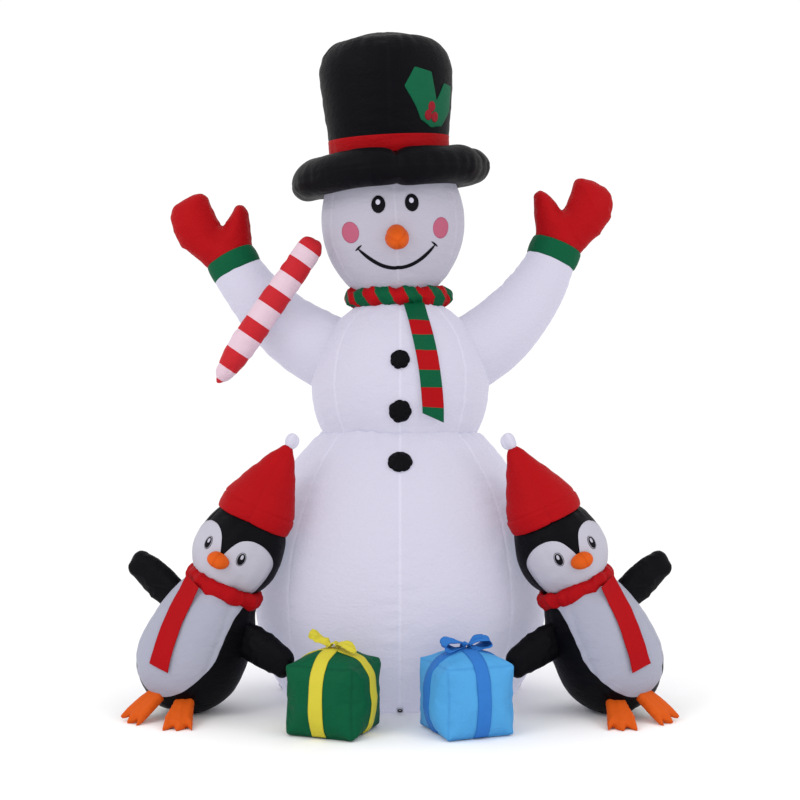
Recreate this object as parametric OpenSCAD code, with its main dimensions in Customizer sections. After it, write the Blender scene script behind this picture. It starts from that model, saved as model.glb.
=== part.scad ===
// Inflatable yard snowman with two penguins and two gift boxes, about 2.3 m tall.
// Millimetres, +Z up, -Y is the front. The origin is on the ground under the snowman's middle.
// Every inflated chamber is a thin shell of cloth, open where air passes to the next one.
// An egg is [radius, depth below its widest line, height above it, height of the widest line].

/* [Cloth] */
// Thickness that stands for the cloth of every inflated chamber
skin = 2; // [1.6:0.1:2.4]
// Space left at each sewn seam between two chambers
seam = 0.5; // [0.4:0.1:0.8]
// Thickness of the applied patches: eyes, cheeks, mouth, leaves and belly panels
patch = 1.2; // [0.8:0.1:1.6]

/* [Snowman] */
// Radius of the lower ball at its widest
ball_r = 530; // [524:1:534]
// Height of the lower ball's widest line
ball_mid = 340; // [330:1:350]
// Height of the waist seam
waist_z = 920; // [915:1:930]
// Radius of the torso at its widest
torso_r = 325; // [320:1:330]
// Height of the torso's widest line
torso_mid = 1100; // [1095:1:1105]
// Height of the neck seam
neck_z = 1387; // [1382:1:1389]
// Radius of the head at its widest
head_r = 258; // [252:1:262]
// Lean of the head and hat to the front, in degrees
head_nod = 9; // [8:0.5:10]
// Lean of the head and hat to the left, in degrees
head_lean = 3; // [2:0.5:4]
// Turn of the face to the right, in degrees
face_turn = 2.4; // [0:0.2:5]

/* [Top hat] */
// Outer radius of the brim
brim_r = 353; // [345:1:358]
// Half of the brim's thickness
brim_half = 64; // [58:1:66]
// Radius of the crown at its foot
crown_foot = 207; // [204:1:210]
// Radius of the crown at its shoulder
crown_top = 238; // [230:1:242]
// Height of the crown's middle above the neck, along the head's axis
hat_top = 925; // [915:1:930]

/* [Candy cane] */
// Radius of the cane's upper end
cane_r = 45; // [42:1:46]
// Length of the cane
cane_len = 607; // [590:1:615]

/* [Penguins] */
// Sideways place of a penguin's axis on the ground
penguin_x = 788; // [787:1:795]
// Place of the penguins in front of the snowman's middle
penguin_y = -390; // [-400:1:-389]
// Lean of a penguin towards the snowman, in degrees
penguin_lean = 25.5; // [25:0.5:25.5]
// Turn of a penguin away from the snowman, in degrees
penguin_turn = 20; // [18:1:22]

/* [Gifts] */
// Width of a gift box along its edges
gift_w = 222; // [216:1:226]
// Height of a gift box at its edges
gift_h = 216; // [208:1:222]
// Turn of the gift boxes, in degrees
gift_turn = 21; // [19:0.5:23]
// Width of the gift ribbons
ribbon_w = 44; // [38:1:50]

/* [Blower and lights] */
// Outer radius of the blower's housing
blower_r = 75; // [70:1:77]
// Height of the blower's axis
blower_z = 150; // [145:1:155]
// Number of blades on the fan
blades = 7; // [5:1:9]
// Number of lamps on the light string
lamps = 5; // [2:1:6]

/* [Zip and stake loops] */
// Height of the zip on the back
zip_z = 300; // [280:5:330]
// Angle that the zip spans round the back, in degrees
zip_span = 54; // [40:1:60]
// Radius of the hole in each stake eyelet
eyelet_r = 4; // [3.5:0.1:4.5]

/* [Hidden] */
$fn = 72;

white = [0.93, 0.92, 0.96];
black = [0.06, 0.06, 0.07];
red = [0.75, 0.06, 0.08];
green = [0.05, 0.36, 0.22];
orange = [0.98, 0.45, 0.08];

far = 3000; // longer than anything on the model
ball = [ball_r, 557, 695, ball_mid];
chest = [torso_r, 362, 319, torso_mid];
neck_foot = [-12, 0, 1410];
skull = [head_r, 295, 295, 275];
skull_cut = [6, 470];
hat_mid = 455;
crown_shoulder = 800;
penguin_egg = [177, 178, 340, 197];
penguin_skull = [147, 147, 200, 580];
penguin_neck = 455;
penguin_skull_cut = [462, 700];
gift_at = [205, -651];

// ---- outlines and shells ----

function flip(list) = [for (i = [len(list) - 1:-1:0]) list[i]];
function egg_angle(e, z) = asin((z - e[3]) / (z < e[3] ? e[1] : e[2]));
function egg_r(e, z) = e[0] * cos(egg_angle(e, z));
// Outline of an egg from height z0 up to z1, moved out by grow
function egg_arc(e, z0, z1, grow = 0, steps = 14) =
    let (a0 = egg_angle(e, z0), a1 = egg_angle(e, z1))
    [for (i = [0:steps]) let (a = a0 + (a1 - a0) * i / steps)
        [(e[0] + grow) * cos(a), e[3] + ((a < 0 ? e[1] : e[2]) + grow) * sin(a)]];
function oval(a, b, n = 20) = [for (i = [0:n - 1]) [a * cos(360 * i / n), b * sin(360 * i / n)]];

// Cross-section of a puffed ring
module cloth_ring(a, b, n) difference() {
    polygon(oval(a, b, n));
    polygon(oval(a - skin, b - skin, n));
}

// A layer of cloth on an egg, between two distances from its outline
module egg_layer(e, z0, z1, from = 0, to = 0, steps = 14)
    rotate_extrude()
        polygon(concat(egg_arc(e, z0, z1, to, steps), flip(egg_arc(e, z0, z1, from, steps))));

module egg_shell(e, z0, z1, steps = 14) egg_layer(e, z0, z1, -skin, 0, steps);

// The room an egg takes up, with the seam space round it
module egg_room(e, z0, z1) {
    arc = egg_arc(e, z0, z1, 2 * seam, 28);
    rotate_extrude() polygon(concat([[0, arc[0][1]]], arc, [[0, arc[len(arc) - 1][1]]]));
}

// Part of a layer on the front of an egg, cut to the outline given as its child
module front_patch(e, z0, z1, lift = seam, steps = 14)
    intersection() {
        egg_layer(e, z0, z1, lift, lift + patch, steps);
        rotate([90, 0, 0]) linear_extrude(e[0] + 100) children();
    }

// The half of space beyond a plane: at is on the plane, and the plane leans by tilt about Y
module beyond(at, tilt)
    translate(at) rotate([0, tilt, 0]) translate([-far / 2, -far / 2, 0]) cube(far);

module below_ground() translate([-far / 2, -far / 2, -far]) cube([far, far, far]);

// ---- runs of balls, strips and tubes ----

// A puffed run of balls [x, z, radius] in the XZ plane, each drawn in by inset
module puff_run(balls, inset = 0, depth = 1)
    for (i = [0:len(balls) - 2]) hull() for (b = [balls[i], balls[i + 1]])
        translate([b[0], 0, b[1]]) scale([1, depth, 1]) sphere(r = b[2] - inset, $fn = 24);

function ring_faces(a, b, sides) = [for (k = [0:sides - 1]) let (m = (k + 1) % sides)
    each [[a + k, b + m, b + k], [a + k, a + m, b + m]]];

// A flat strip of cloth through rows of [left, right] edge points, thick along its own normal
module cloth_strip(rows, thick) {
    n = len(rows);
    sheet = function (i) let (a = rows[max(i - 1, 0)], b = rows[min(i + 1, n - 1)],
        v = cross(rows[i][1] - rows[i][0], b[0] - a[0])) v / norm(v) * thick;
    points = [for (i = [0:n - 1]) each [rows[i][0], rows[i][1], rows[i][1] + sheet(i), rows[i][0] + sheet(i)]];
    polyhedron(points, concat([[0, 2, 1], [0, 3, 2]],
        [for (i = [0:n - 2]) each ring_faces(4 * i, 4 * i + 4, 4)],
        [let (e = 4 * (n - 1)) each [[e, e + 1, e + 2], [e, e + 2, e + 3]]]));
}

// ---- snowman ----

arm_l = [[-235, 1200, 138], [-330, 1250, 132], [-430, 1320, 120], [-525, 1415, 102], [-588, 1504, 92]];
arm_r = [[235, 1198, 138], [330, 1258, 132], [420, 1342, 121], [503, 1450, 102], [547, 1544, 91]];
wrist_l = [-588, 0, 1504];
wrist_r = [547, 0, 1544];
cuff_tilt_l = -28;
cuff_tilt_r = 23;
cuff_len = 68;
cuff_r = 94;
sleeve_r = 45;
gift_sleeve_r = 35;
gift_sleeve_z = 100;
penguin_sleeve_z = 185;
sleeve_az = [atan2(penguin_y, penguin_x - 90), atan2(gift_at[1], gift_at[0])];

// One side's air sleeves, as rods of the given wall offset
module sleeve_rods(wall = 0) {
    translate([0, 0, penguin_sleeve_z]) rotate([0, 0, sleeve_az[0]]) rotate([0, 90, 0])
        translate([0, 0, 480]) cylinder(r = sleeve_r - wall, h = 200);
    translate([0, 0, gift_sleeve_z]) rotate([0, 0, sleeve_az[1]]) rotate([0, 90, 0])
        translate([0, 0, 460]) cylinder(r = gift_sleeve_r - wall, h = 116);
}

module lower_body()
    color(white) difference() {
        egg_shell(ball, 0, waist_z - seam, 20);
        translate([0, 0, blower_z]) rotate([-90, 0, 0]) cylinder(r = blower_r + 5, h = far);
        for (side = [0, 1]) mirror([side, 0, 0]) sleeve_rods(skin + seam);
        rotate([0, 0, zip_start]) rotate_extrude(angle = zip_span)
            translate([ball_r - 20, zip_z - 2]) square([40, 4]);
    }

module base_panel() color(white) cylinder(r = egg_r(ball, 0) - 4, h = skin);

module torso()
    color(white) difference() {
        egg_shell(chest, waist_z + seam, neck_z, 18);
        for (s = [arm_l, arm_r]) translate([s[0][0], 0, s[0][1]])
            rotate([0, atan2(s[1][0] - s[0][0], s[1][1] - s[0][1]), 0]) cylinder(r = 95, h = 200);
    }

// An arm is a puffed run of balls from inside the torso to past the wrist
module arm(stations, wrist, tilt)
    color(white) difference() {
        puff_run(stations);
        puff_run(stations, skin);
        egg_room(chest, waist_z, neck_z);
        beyond(wrist, tilt);
    }
module left_arm() arm(arm_l, wrist_l, cuff_tilt_l);
module right_arm() arm(arm_r, wrist_r, cuff_tilt_r);

module mitten_cuffs()
    color(green) for (c = [[wrist_l, cuff_tilt_l], [wrist_r, cuff_tilt_r]])
        translate(c[0]) rotate([0, c[1], 0]) rotate_extrude() polygon([
            [cuff_r - 2, seam], [cuff_r + 1, cuff_len / 2], [cuff_r, cuff_len],
            [cuff_r - skin, cuff_len], [cuff_r + 1 - skin, cuff_len / 2], [cuff_r - 2 - skin, seam]]);

// The palm and the thumb of a mitten are runs of balls
module mitten(palm, thumb, wrist, tilt)
    color(red) difference() {
        for (run = [palm, thumb]) puff_run(run, 0, 0.8);
        for (run = [palm, thumb]) puff_run(run, skin, 0.8);
        translate(wrist) rotate([0, tilt, 0]) translate([-far / 2, -far / 2, cuff_len + seam - far]) cube(far);
    }
palm_l = [[-628, 1578, 92], [-700, 1640, 88], [-768, 1702, 67], [-733, 1734, 65]];
thumb_l = [[-640, 1610, 80], [-600, 1655, 56], [-573, 1721, 38]];
palm_r = [[582, 1622, 92], [652, 1690, 88], [712, 1752, 70], [666, 1788, 63]];
thumb_r = [[590, 1660, 80], [545, 1706, 56], [512, 1763, 38]];
module left_mitten() mitten(palm_l, thumb_l, wrist_l, cuff_tilt_l);
module right_mitten() mitten(palm_r, thumb_r, wrist_r, cuff_tilt_r);

// Puts its children in the head's own frame: the foot of the neck, leaning with the head
module on_head() translate(neck_foot) rotate([head_nod, -head_lean, 0]) children();
// Turns its children to an angle off the face's middle, positive to the right
module face_at(angle) rotate([0, 0, face_turn + angle]) children();

module head() color(white) on_head() egg_shell(skull, skull_cut[0], skull_cut[1], 18);

brim_half_w = 72;
module hat_brim()
    color(black) on_head() difference() {
        rotate_extrude() translate([brim_r - brim_half_w, hat_mid]) cloth_ring(brim_half_w, brim_half, 24);
        egg_room(skull, skull_cut[0], skull_cut[1]);
        translate([0, 0, hat_mid]) cylinder(r = crown_foot + 3, h = 100);
    }

function crown_line(z) = crown_foot + (crown_top - crown_foot) * (z - hat_mid) / (crown_shoulder - hat_mid);
crown_dome = [for (i = [0:6]) let (a = 90 * i / 6)
    [crown_top - 50 + 50 * cos(a), crown_shoulder + 70 * sin(a)]];
module hat_crown() {
    outer = concat([[crown_foot, hat_mid + 5]], crown_dome, [[60, hat_top - 8], [0, hat_top]]);
    inner = [for (p = outer) [max(p[0] - skin, 0), p[1] - (p[0] < crown_top - 40 ? skin : 0)]];
    color(black) on_head() rotate_extrude() polygon(concat(outer, flip(inner)));
}

// A layer on the crown's cone between two heights
module crown_layer(z0, z1, lift, thick) rotate_extrude() polygon([
    [crown_line(z0) + lift, z0], [crown_line(z1) + lift, z1],
    [crown_line(z1) + lift + thick, z1], [crown_line(z0) + lift + thick, z0]]);
module hat_band() color(red) on_head() crown_layer(516, 566, seam, 2);

// Outline of the two holly leaves, round the point where their stalks meet
holly_outline = [[109, 89], [55, 94], [16, 34], [-11, 127], [-78, 142], [-111, 80], [-69, 11], [-51, -29],
    [-5, -55], [51, -49], [102, 3]];
holly_turn = 41.6;
holly_z = 640;
module crown_patch(lift) intersection() {
    crown_layer(570, 795, lift, patch);
    rotate([90, 0, 0]) linear_extrude(400) translate([0, holly_z]) children();
}
module holly_leaves() color(green) on_head() face_at(holly_turn) crown_patch(seam) polygon(holly_outline);
module holly_berries() color([0.6, 0.03, 0.05]) on_head() face_at(holly_turn)
    for (p = [[-6, 14], [-20, -14], [10, -20]]) crown_patch(2 * seam + patch) translate(p) circle(r = 13, $fn = 20);

eye_turn = 13;
eye_z = 332;
cheek_turn = 37.7;
cheek_z = 244;
nose_z = 219;
mouth_z = [114, 187];
mouth_half_w = 132;
module snowman_eyes() color(black) on_head() for (side = [-1, 1]) face_at(side * eye_turn)
    front_patch(skull, eye_z - 40, eye_z + 40, steps = 5) translate([0, eye_z]) polygon(oval(24, 29));
module snowman_cheeks() color([0.85, 0.4, 0.55]) on_head() for (side = [-1, 1]) face_at(side * cheek_turn)
    front_patch(skull, cheek_z - 45, cheek_z + 45, steps = 5) translate([0, cheek_z]) polygon(oval(36, 36));
module snowman_nose() color(orange) on_head() face_at(0) on_front(skull, nose_z) pad(40, 96);
function smile(u, side) = let (s = u / mouth_half_w)
    [u, mouth_z[0] + (mouth_z[1] - mouth_z[0]) * s * s + side * 6];
module snowman_mouth() color(black) on_head() face_at(0)
    front_patch(skull, mouth_z[0] - 30, mouth_z[1] + 40, steps = 8) {
        polygon(concat([for (i = [-8:8]) smile(i / 8 * mouth_half_w, -1)],
            [for (i = [8:-1:-8]) smile(i / 8 * mouth_half_w, 1)]));
        for (side = [-1, 1]) translate([side * mouth_half_w, mouth_z[1]]) rotate(side * -35)
            square([34, 10], center = true);
    }

scarf_mid = 1413;
scarf_ring_r = 153;
scarf_tube_r = 36;
module neck_scarf()
    color(red) difference() {
        translate([-6, 0, scarf_mid]) rotate([4, 0, 0]) rotate_extrude()
            translate([scarf_ring_r, 0]) cloth_ring(scarf_tube_r, scarf_tube_r, 20);
        egg_room(chest, waist_z, neck_z);
        translate([0, 0, neck_z - seam]) cylinder(r = 100, h = 40);
        on_head() egg_room(skull, skull_cut[0], skull_cut[1]);
    }

tail_w = 74;
tail_top = [46, 1388];
tail_foot = [120, 972];
tail_rows = 10;
tail_gap = 10.5; // between the tail and the torso
// Height, then sideways place, of row i of the scarf's tail, and its distance from the torso's axis
function tail_z(i) = tail_top[1] + (tail_foot[1] - tail_top[1]) * i / tail_rows;
function tail_x(i) = tail_top[0] + (tail_foot[0] - tail_top[0]) * sin(90 * i / tail_rows);
function tail_reach(z) = tail_gap + (z > torso_mid ? max(egg_r(chest, min(z, neck_z - 4)), 190) : torso_r);
module scarf_tail()
    color(green) cloth_strip([for (i = [0:tail_rows]) [for (side = [-1, 1])
        let (z = tail_z(i), x = tail_x(i) + side * tail_w / 2, drop = i == tail_rows ? side * 16 : 0)
        [x, -sqrt(pow(tail_reach(z), 2) - x * x), z - drop]]], 3);

// A puffed pad with a flat back, standing on the XY plane
module pad(r, h) rotate_extrude() polygon(concat([[0, 0]],
    [for (i = [0:7]) [r * sqrt(1 - pow(i / 8, 2)), h * i / 8]], [[0, h]]));
// Puts its children on the front of an egg at height z, facing out from it
module on_front(e, z) {
    a = egg_angle(e, z);
    lean = atan2(sin(a) / (a < 0 ? e[1] : e[2]), cos(a) / e[0]);
    translate([0, -egg_r(e, z), z]) rotate([90 - lean, 0, 0]) translate([0, 0, seam]) children();
}
button_list = [[1171, 34, chest], [995, 38.5, chest], [826, 42, ball]];
module buttons() color(black) for (b = button_list) on_front(b[2], b[0]) pad(b[1], 16);

cane_foot = [-640, -168, 1095];
cane_tilt = 34.4;
module candy_cane() {
    outer = concat([[0, 0], [9, 3]], [for (i = [1:4]) [12 + (cane_r - 8 - 12) * sqrt(i / 4), 34 * i]],
        [for (i = [0:5]) [cane_r * (0.9 + 0.1 * i / 5), 150 + (cane_len - 200) * i / 5]],
        [for (i = [1:5]) let (a = 18 * i) [cane_r * cos(a), cane_len - 50 + 50 * sin(a)]]);
    inner = [for (p = outer) [max(p[0] - skin, 0), p[1] < 8 ? p[1] + 6 : p[1] > cane_len - 4 ? p[1] - skin : p[1]]];
    color(white) translate(cane_foot) rotate([0, cane_tilt, 0]) rotate_extrude() polygon(concat(outer, flip(inner)));
}

// ---- penguins; side 0 is on the left, side 1 is its mirror image ----

face_off = 7.5;
belly_off = -8;
module on_penguin(side) mirror([side, 0, 0]) translate([-penguin_x, penguin_y, 0])
    rotate([0, penguin_lean, 0]) rotate([0, 0, -penguin_turn]) children();
body_shift = [9, 3, 0];
module penguin_room() translate(body_shift) egg_room(penguin_egg, 30, penguin_neck);

module penguin_body(side)
    color(black) difference() {
        on_penguin(side) translate(body_shift)
            egg_shell(penguin_egg, penguin_egg[3] - penguin_egg[1] * 0.9999, penguin_neck, 16);
        mirror([1 - side, 0, 0]) sleeve_rods(skin + seam);
    }
module left_penguin_body() penguin_body(0);
module right_penguin_body() penguin_body(1);

module penguin_head(side)
    color(black) on_penguin(side) egg_shell(penguin_skull, penguin_skull_cut[0], penguin_skull_cut[1], 14);
module left_penguin_head() penguin_head(0);
module right_penguin_head() penguin_head(1);

// Each flipper is a flat puffed run of balls [reach, height], from the body outwards; the outer one is raised
flipper_balls = [[[120, 352], [190, 349], [260, 343], [318, 337]], [[120, 350], [190, 364], [260, 379], [316, 389]]];
flipper_half = [18, 28, 26, 16];
flipper_r = 34;
module flipper_puff(m, inset) for (i = [0:2]) hull() for (k = [i, i + 1]) for (s = [-1, 1])
    translate([flipper_balls[m][k][0], 0, flipper_balls[m][k][1] + s * flipper_half[k]])
        sphere(r = flipper_r - inset, $fn = 20);
module penguin_flippers(side)
    color(black) on_penguin(side) for (m = [0, 1]) mirror([m, 0, 0]) difference() {
        flipper_puff(m, 0);
        flipper_puff(m, skin);
        mirror([m, 0, 0]) penguin_room();
    }
module left_penguin_flippers() penguin_flippers(0);
module right_penguin_flippers() penguin_flippers(1);

belly_outline = concat([[-118, 446]], [for (i = [0:14]) let (a = 180 + 180 * i / 14)
    [148 * cos(a), 262 + 190 * sin(a)]], [[118, 446]]);
module penguin_panels(side)
    color(white) on_penguin(side) {
        translate(body_shift) rotate([0, 0, belly_off]) front_patch(penguin_egg, 60, 440)
            polygon(belly_outline);
        rotate([0, 0, face_off]) front_patch(penguin_skull, 488, 665) {
            for (s = [-1, 1]) translate([s * 78, 592]) polygon(oval(62, 60));
            translate([-128, 480]) square([256, 98]);
        }
    }
module left_penguin_panels() penguin_panels(0);
module right_penguin_panels() penguin_panels(1);

module penguin_hat(side) {
    outer = [[126, 702], [129, 752], [70, 866], [20, 962], [12, 970], [0, 974]];
    inner = [for (p = outer) [max(p[0] - 2.3, 0), p[0] < 30 ? p[1] - 5 : p[1]]];
    color(red) on_penguin(side) rotate_extrude() polygon(concat(outer, flip(inner)));
}
module left_penguin_hat() penguin_hat(0);
module right_penguin_hat() penguin_hat(1);

penguin_scarf_r = 21;
module penguin_scarf(side)
    color(red) on_penguin(side) translate(body_shift) rotate_extrude() difference() {
        translate([133 - penguin_scarf_r, 461]) cloth_ring(penguin_scarf_r, penguin_scarf_r, 16);
        polygon(concat([[0, 400]], egg_arc(penguin_egg, 400, penguin_neck, 2 * seam),
            egg_arc(penguin_skull, penguin_neck + 22, 500, norm(body_shift) + 3 * seam), [[0, 500]]));
    }
module left_penguin_scarf() penguin_scarf(0);
module right_penguin_scarf() penguin_scarf(1);

penguin_tail = [[-52, 452], [-46, 400], [-38, 340], [-26, 280], [-14, 220], [-3, 168]];
penguin_tail_w = 74;
function penguin_reach(z) = z > 430 ? 142 : max(egg_r(penguin_egg, z), 142) + 8;
module penguin_scarf_tail(side)
    color(red) on_penguin(side) cloth_strip([for (p = penguin_tail) [for (s = [-1, 1])
        let (x = p[0] + s * penguin_tail_w / 2) [x + body_shift[0],
            -sqrt(pow(penguin_reach(p[1]), 2) - x * x), p[1] - s * 6]]], 3);
module left_penguin_scarf_tail() penguin_scarf_tail(0);
module right_penguin_scarf_tail() penguin_scarf_tail(1);

// A foot's outline: three toes point along -Y, and the heel runs back into the body
foot_outline = [[-30, 75], [30, 75], [38, 10], [46, -62], [52, -118], [30, -98], [4, -128], [-14, -100],
    [-46, -122], [-48, -60], [-38, 10]];
foot_thick = 22;
// Place, turn and pitch of the middle of each foot on the left side
feet = [[-695, -548, 52, 0, 20], [-776, -515, 82, -62, 36]];
module penguin_feet()
    color(orange) for (side = [0, 1]) mirror([side, 0, 0]) difference() {
        for (f = feet) translate([f[0], f[1], f[2]]) rotate([0, 0, f[3]]) rotate([f[4], 0, 0])
            linear_extrude(foot_thick, center = true) polygon(foot_outline);
        on_penguin(0) translate(body_shift) {
            egg_room(penguin_egg, 22, penguin_neck);
            egg_layer(penguin_egg, 66, 240, seam, 3 * seam + patch, 14);
        }
        below_ground();
    }

beak_z = 556;
module penguin_beaks() color(orange) for (side = [0, 1]) on_penguin(side) rotate([0, 0, face_off])
    on_front(penguin_skull, beak_z) translate([0, 0, seam + patch]) pad(33, 44);

penguin_eye_turn = 24.6;
penguin_eye_z = 588;
module penguin_eyes()
    color(black) for (side = [0, 1]) on_penguin(side) for (s = [-1, 1])
        rotate([0, 0, face_off + s * penguin_eye_turn])
            front_patch(penguin_skull, penguin_eye_z - 40, penguin_eye_z + 40, 2 * seam + patch, 5)
                translate([0, penguin_eye_z]) polygon(oval(17, 25));

module penguin_pompoms() color(white) for (side = [0, 1]) on_penguin(side)
    translate([4, 0, 1000]) sphere(r = 25.5);

// ---- gifts ----

// A puffed box: plain boxes [width, depth, foot, top] joined by a hull, all moved out by grow
gift_boxes = [[gift_w, gift_w, 6, gift_h], [gift_w + 26, 110, 60, 160], [110, gift_w + 26, 60, 160],
    [90, 90, 0, gift_h + 46]];
module gift_puff(grow) hull() for (b = gift_boxes)
    translate([-b[0] / 2 - grow, -b[1] / 2 - grow, b[2] - grow])
        cube([b[0] + 2 * grow, b[1] + 2 * grow, b[3] - b[2] + 2 * grow]);
module at_gift(side) mirror([side, 0, 0]) translate([-gift_at[0], gift_at[1], 0])
    rotate([0, 0, -gift_turn]) children();
module gift(side) difference() {
    at_gift(side) gift_puff(0);
    at_gift(side) gift_puff(-skin);
    mirror([1 - side, 0, 0]) sleeve_rods(skin + seam);
}
module ribbon_bands(width) {
    translate([-width / 2, -far / 2, 0.3]) cube([width, far, far]);
    translate([-far / 2, -width / 2, 0.3]) cube([far, width, far]);
}
module gift_ribbon(side) at_gift(side) intersection() {
    difference() {
        gift_puff(seam + patch);
        gift_puff(seam);
    }
    ribbon_bands(ribbon_w);
}
module green_gift() color(green) gift(0);
module blue_gift() color([0.25, 0.62, 0.9]) gift(1);
module green_gift_ribbon() color("gold") gift_ribbon(0);
module blue_gift_ribbon() color([0.15, 0.45, 0.82]) gift_ribbon(1);

knot_z = gift_h + 46 + 2 + 17;
// A bow is a knot and loops, each a drop from near the knot to a ball [x, y, rise, radius]
module bow(side, loops) at_gift(side) translate([0, 0, knot_z]) {
    sphere(r = 15);
    for (l = loops) let (reach = norm([l[0], l[1], l[2]])) hull() {
        translate([l[0], l[1], l[2]] * 23 / reach) sphere(r = 6, $fn = 14);
        translate([l[0], l[1], l[2]]) scale([1, 1, 0.6]) sphere(r = l[3], $fn = 18);
    }
}
module green_gift_bow() color("gold") bow(0, [[-62, -6, 26, 18], [64, -16, 4, 18]]);
module blue_gift_bow() color([0.15, 0.45, 0.82]) bow(1, [[-58, -4, 8, 26], [58, 4, 8, 26]]);

module air_sleeves()
    color(white) for (side = [0, 1]) mirror([1 - side, 0, 0]) difference() {
        sleeve_rods(0);
        sleeve_rods(skin);
        egg_room(ball, 2, waist_z);
        on_penguin(1) penguin_room();
        at_gift(1) gift_puff(seam);
        at_gift(1) intersection() {
            gift_puff(2 * seam + patch);
            ribbon_bands(ribbon_w + 2 * seam);
        }
    }

// ---- blower, lights, zip and stake loops ----

blower_y = [400, 528]; // from the air outlet inside to the flange outside
flange_r = blower_r + 17;
module along_y(y) translate([0, y, blower_z]) rotate([-90, 0, 0]) children();
module blower_housing()
    color([0.2, 0.2, 0.22]) {
        along_y(blower_y[0]) difference() {
            union() {
                cylinder(r = blower_r, h = blower_y[1] - blower_y[0]);
                translate([0, 0, blower_y[1] - blower_y[0] - 4]) cylinder(r = flange_r, h = 4);
            }
            translate([0, 0, -1]) cylinder(r = blower_r - 3, h = far);
        }
        for (k = [0:2]) along_y(415) rotate([0, 0, 120 * k]) translate([28.3, -3, 0])
            cube([blower_r - 30, 6, 30]);
    }
module blower_collar() color(white) along_y(446) difference() {
    cylinder(r = blower_r + 3.5, h = 76);
    translate([0, 0, -1]) cylinder(r = blower_r + 0.4, h = 80);
}
module blower_grille()
    color(black) along_y(blower_y[1] - 4) difference() {
        cylinder(r = blower_r - 3.4, h = 4);
        for (i = [0:3]) difference() {
            translate([0, 0, -1]) cylinder(r = 26 + 14 * i, h = 6);
            translate([0, 0, -1]) cylinder(r = 16 + 14 * i, h = 6);
            for (k = [0:3]) rotate([0, 0, 45 * k]) translate([-far / 2, -2.5, -2]) cube([far, 5, 8]);
        }
    }
fan_y = [474, 506];
module blower_motor() color([0.5, 0.5, 0.52]) along_y(410) {
    cylinder(r = 28, h = 56);
    translate([0, 0, 50]) cylinder(r = 4, h = fan_y[1] - 458);
}
module blower_fan()
    color([0.85, 0.85, 0.82]) along_y(fan_y[0]) difference() {
        union() {
            cylinder(r = 14, h = fan_y[1] - fan_y[0]);
            for (k = [0:blades - 1]) rotate([0, 0, 360 * k / blades]) translate([10, 0, 16]) rotate([38, 0, 0])
                translate([0, -15, -1.2]) cube([blower_r - 20, 30, 2.4]);
        }
        translate([0, 0, -1]) cylinder(r = 4.06, h = 60);
    }
module cord_gland() color(black) translate([0, 0, -flange_r + 8.5]) along_y(blower_y[1] + 0.3) difference() {
    cylinder(r = 8, h = 14);
    translate([0, 0, -1]) cylinder(r = 3.2, h = 20);
}

// The light string's route inside the body: from the blower to the middle, then up into the head
light_route = [[30, 396, 190], [32, 330, 240], [26, 230, 300], [12, 110, 360], [0, 30, 430], [0, 0, 540],
    [0, 0, 760], [0, 0, 1000], [0, 0, 1250], [-2, -4, 1400], [-8, -20, 1560], [-14, -32, 1700]];
cable_r = 3;
function cable_ring(p, i, r, sides) =
    let (n = len(p) - 1, d = p[min(i + 1, n)] - p[max(i - 1, 0)], t = d / norm(d),
        u = cross(t, [1, 0, 0]), v = cross(u / norm(u), t))
    [for (k = [0:sides - 1]) p[i] + r * (cos(360 * k / sides) * u / norm(u) + sin(360 * k / sides) * v)];
module light_cable() {
    n = len(light_route);
    color("green") polyhedron([for (i = [0:n - 1]) each cable_ring(light_route, i, cable_r, 8)], concat(
        [[for (k = [7:-1:0]) k]], [for (i = [0:n - 2]) each ring_faces(8 * i, 8 * i + 8, 8)],
        [[for (k = [0:7]) 8 * (n - 1) + k]]));
}
lamp_z = [for (i = [0:lamps - 1]) 480 + i * 720 / (lamps - 1)];
module light_lamps() color([0.9, 0.9, 1]) for (z = lamp_z) translate([20, 0, z]) {
    cylinder(r = 7, h = 16);
    translate([0, 0, 24]) sphere(r = 11);
}

zip_start = 108;
zip_r = ball_r + 0.8;
zip_tape_h = 30;
tooth_h = 6;
module zip_arc(from, to, r0, r1, z0, z1) rotate([0, 0, from]) rotate_extrude(angle = to - from)
    translate([r0, zip_z + z0]) square([r1 - r0, z1 - z0]);
module zip_tape()
    color([0.75, 0.75, 0.78]) {
        zip_arc(zip_start - 3, zip_start + zip_span + 3, zip_r, zip_r + 1.5, -zip_tape_h / 2, zip_tape_h / 2);
        zip_arc(zip_start - 1, zip_start + zip_span + 1, zip_r + 1, zip_r + 3.5, -tooth_h / 2, tooth_h / 2);
    }
slider_half = 1; // half of the slider's length round the arc, in degrees
pull_pin_r = 1.6;
pull_reach = zip_r + 13;
module zip_slider()
    color([0.6, 0.6, 0.62]) {
        difference() {
            zip_arc(zip_start - slider_half, zip_start + slider_half, zip_r + 2, zip_r + 8, -9, 9);
            zip_arc(zip_start - 3, zip_start + 3, zip_r + 1, zip_r + 4, -tooth_h / 2 - 0.5, tooth_h / 2 + 0.5);
        }
        rotate([0, 0, zip_start]) translate([0, 0, zip_z]) {
            for (s = [-1, 1]) translate([zip_r + 7, s * 6 - 1, -3]) cube([9, 2, 6]);
            translate([pull_reach, -6, 0]) rotate([-90, 0, 0]) cylinder(r = pull_pin_r, h = 12);
        }
    }
module zip_pull()
    color([0.6, 0.6, 0.62]) rotate([0, 0, zip_start]) translate([pull_reach, 0, zip_z]) difference() {
        union() {
            rotate([90, 0, 0]) cylinder(r = 3.6, h = 9, center = true);
            translate([-1.2, -4.5, -40]) cube([2.4, 9, 40]);
        }
        rotate([90, 0, 0]) cylinder(r = pull_pin_r + 0.1, h = 20, center = true);
    }

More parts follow.
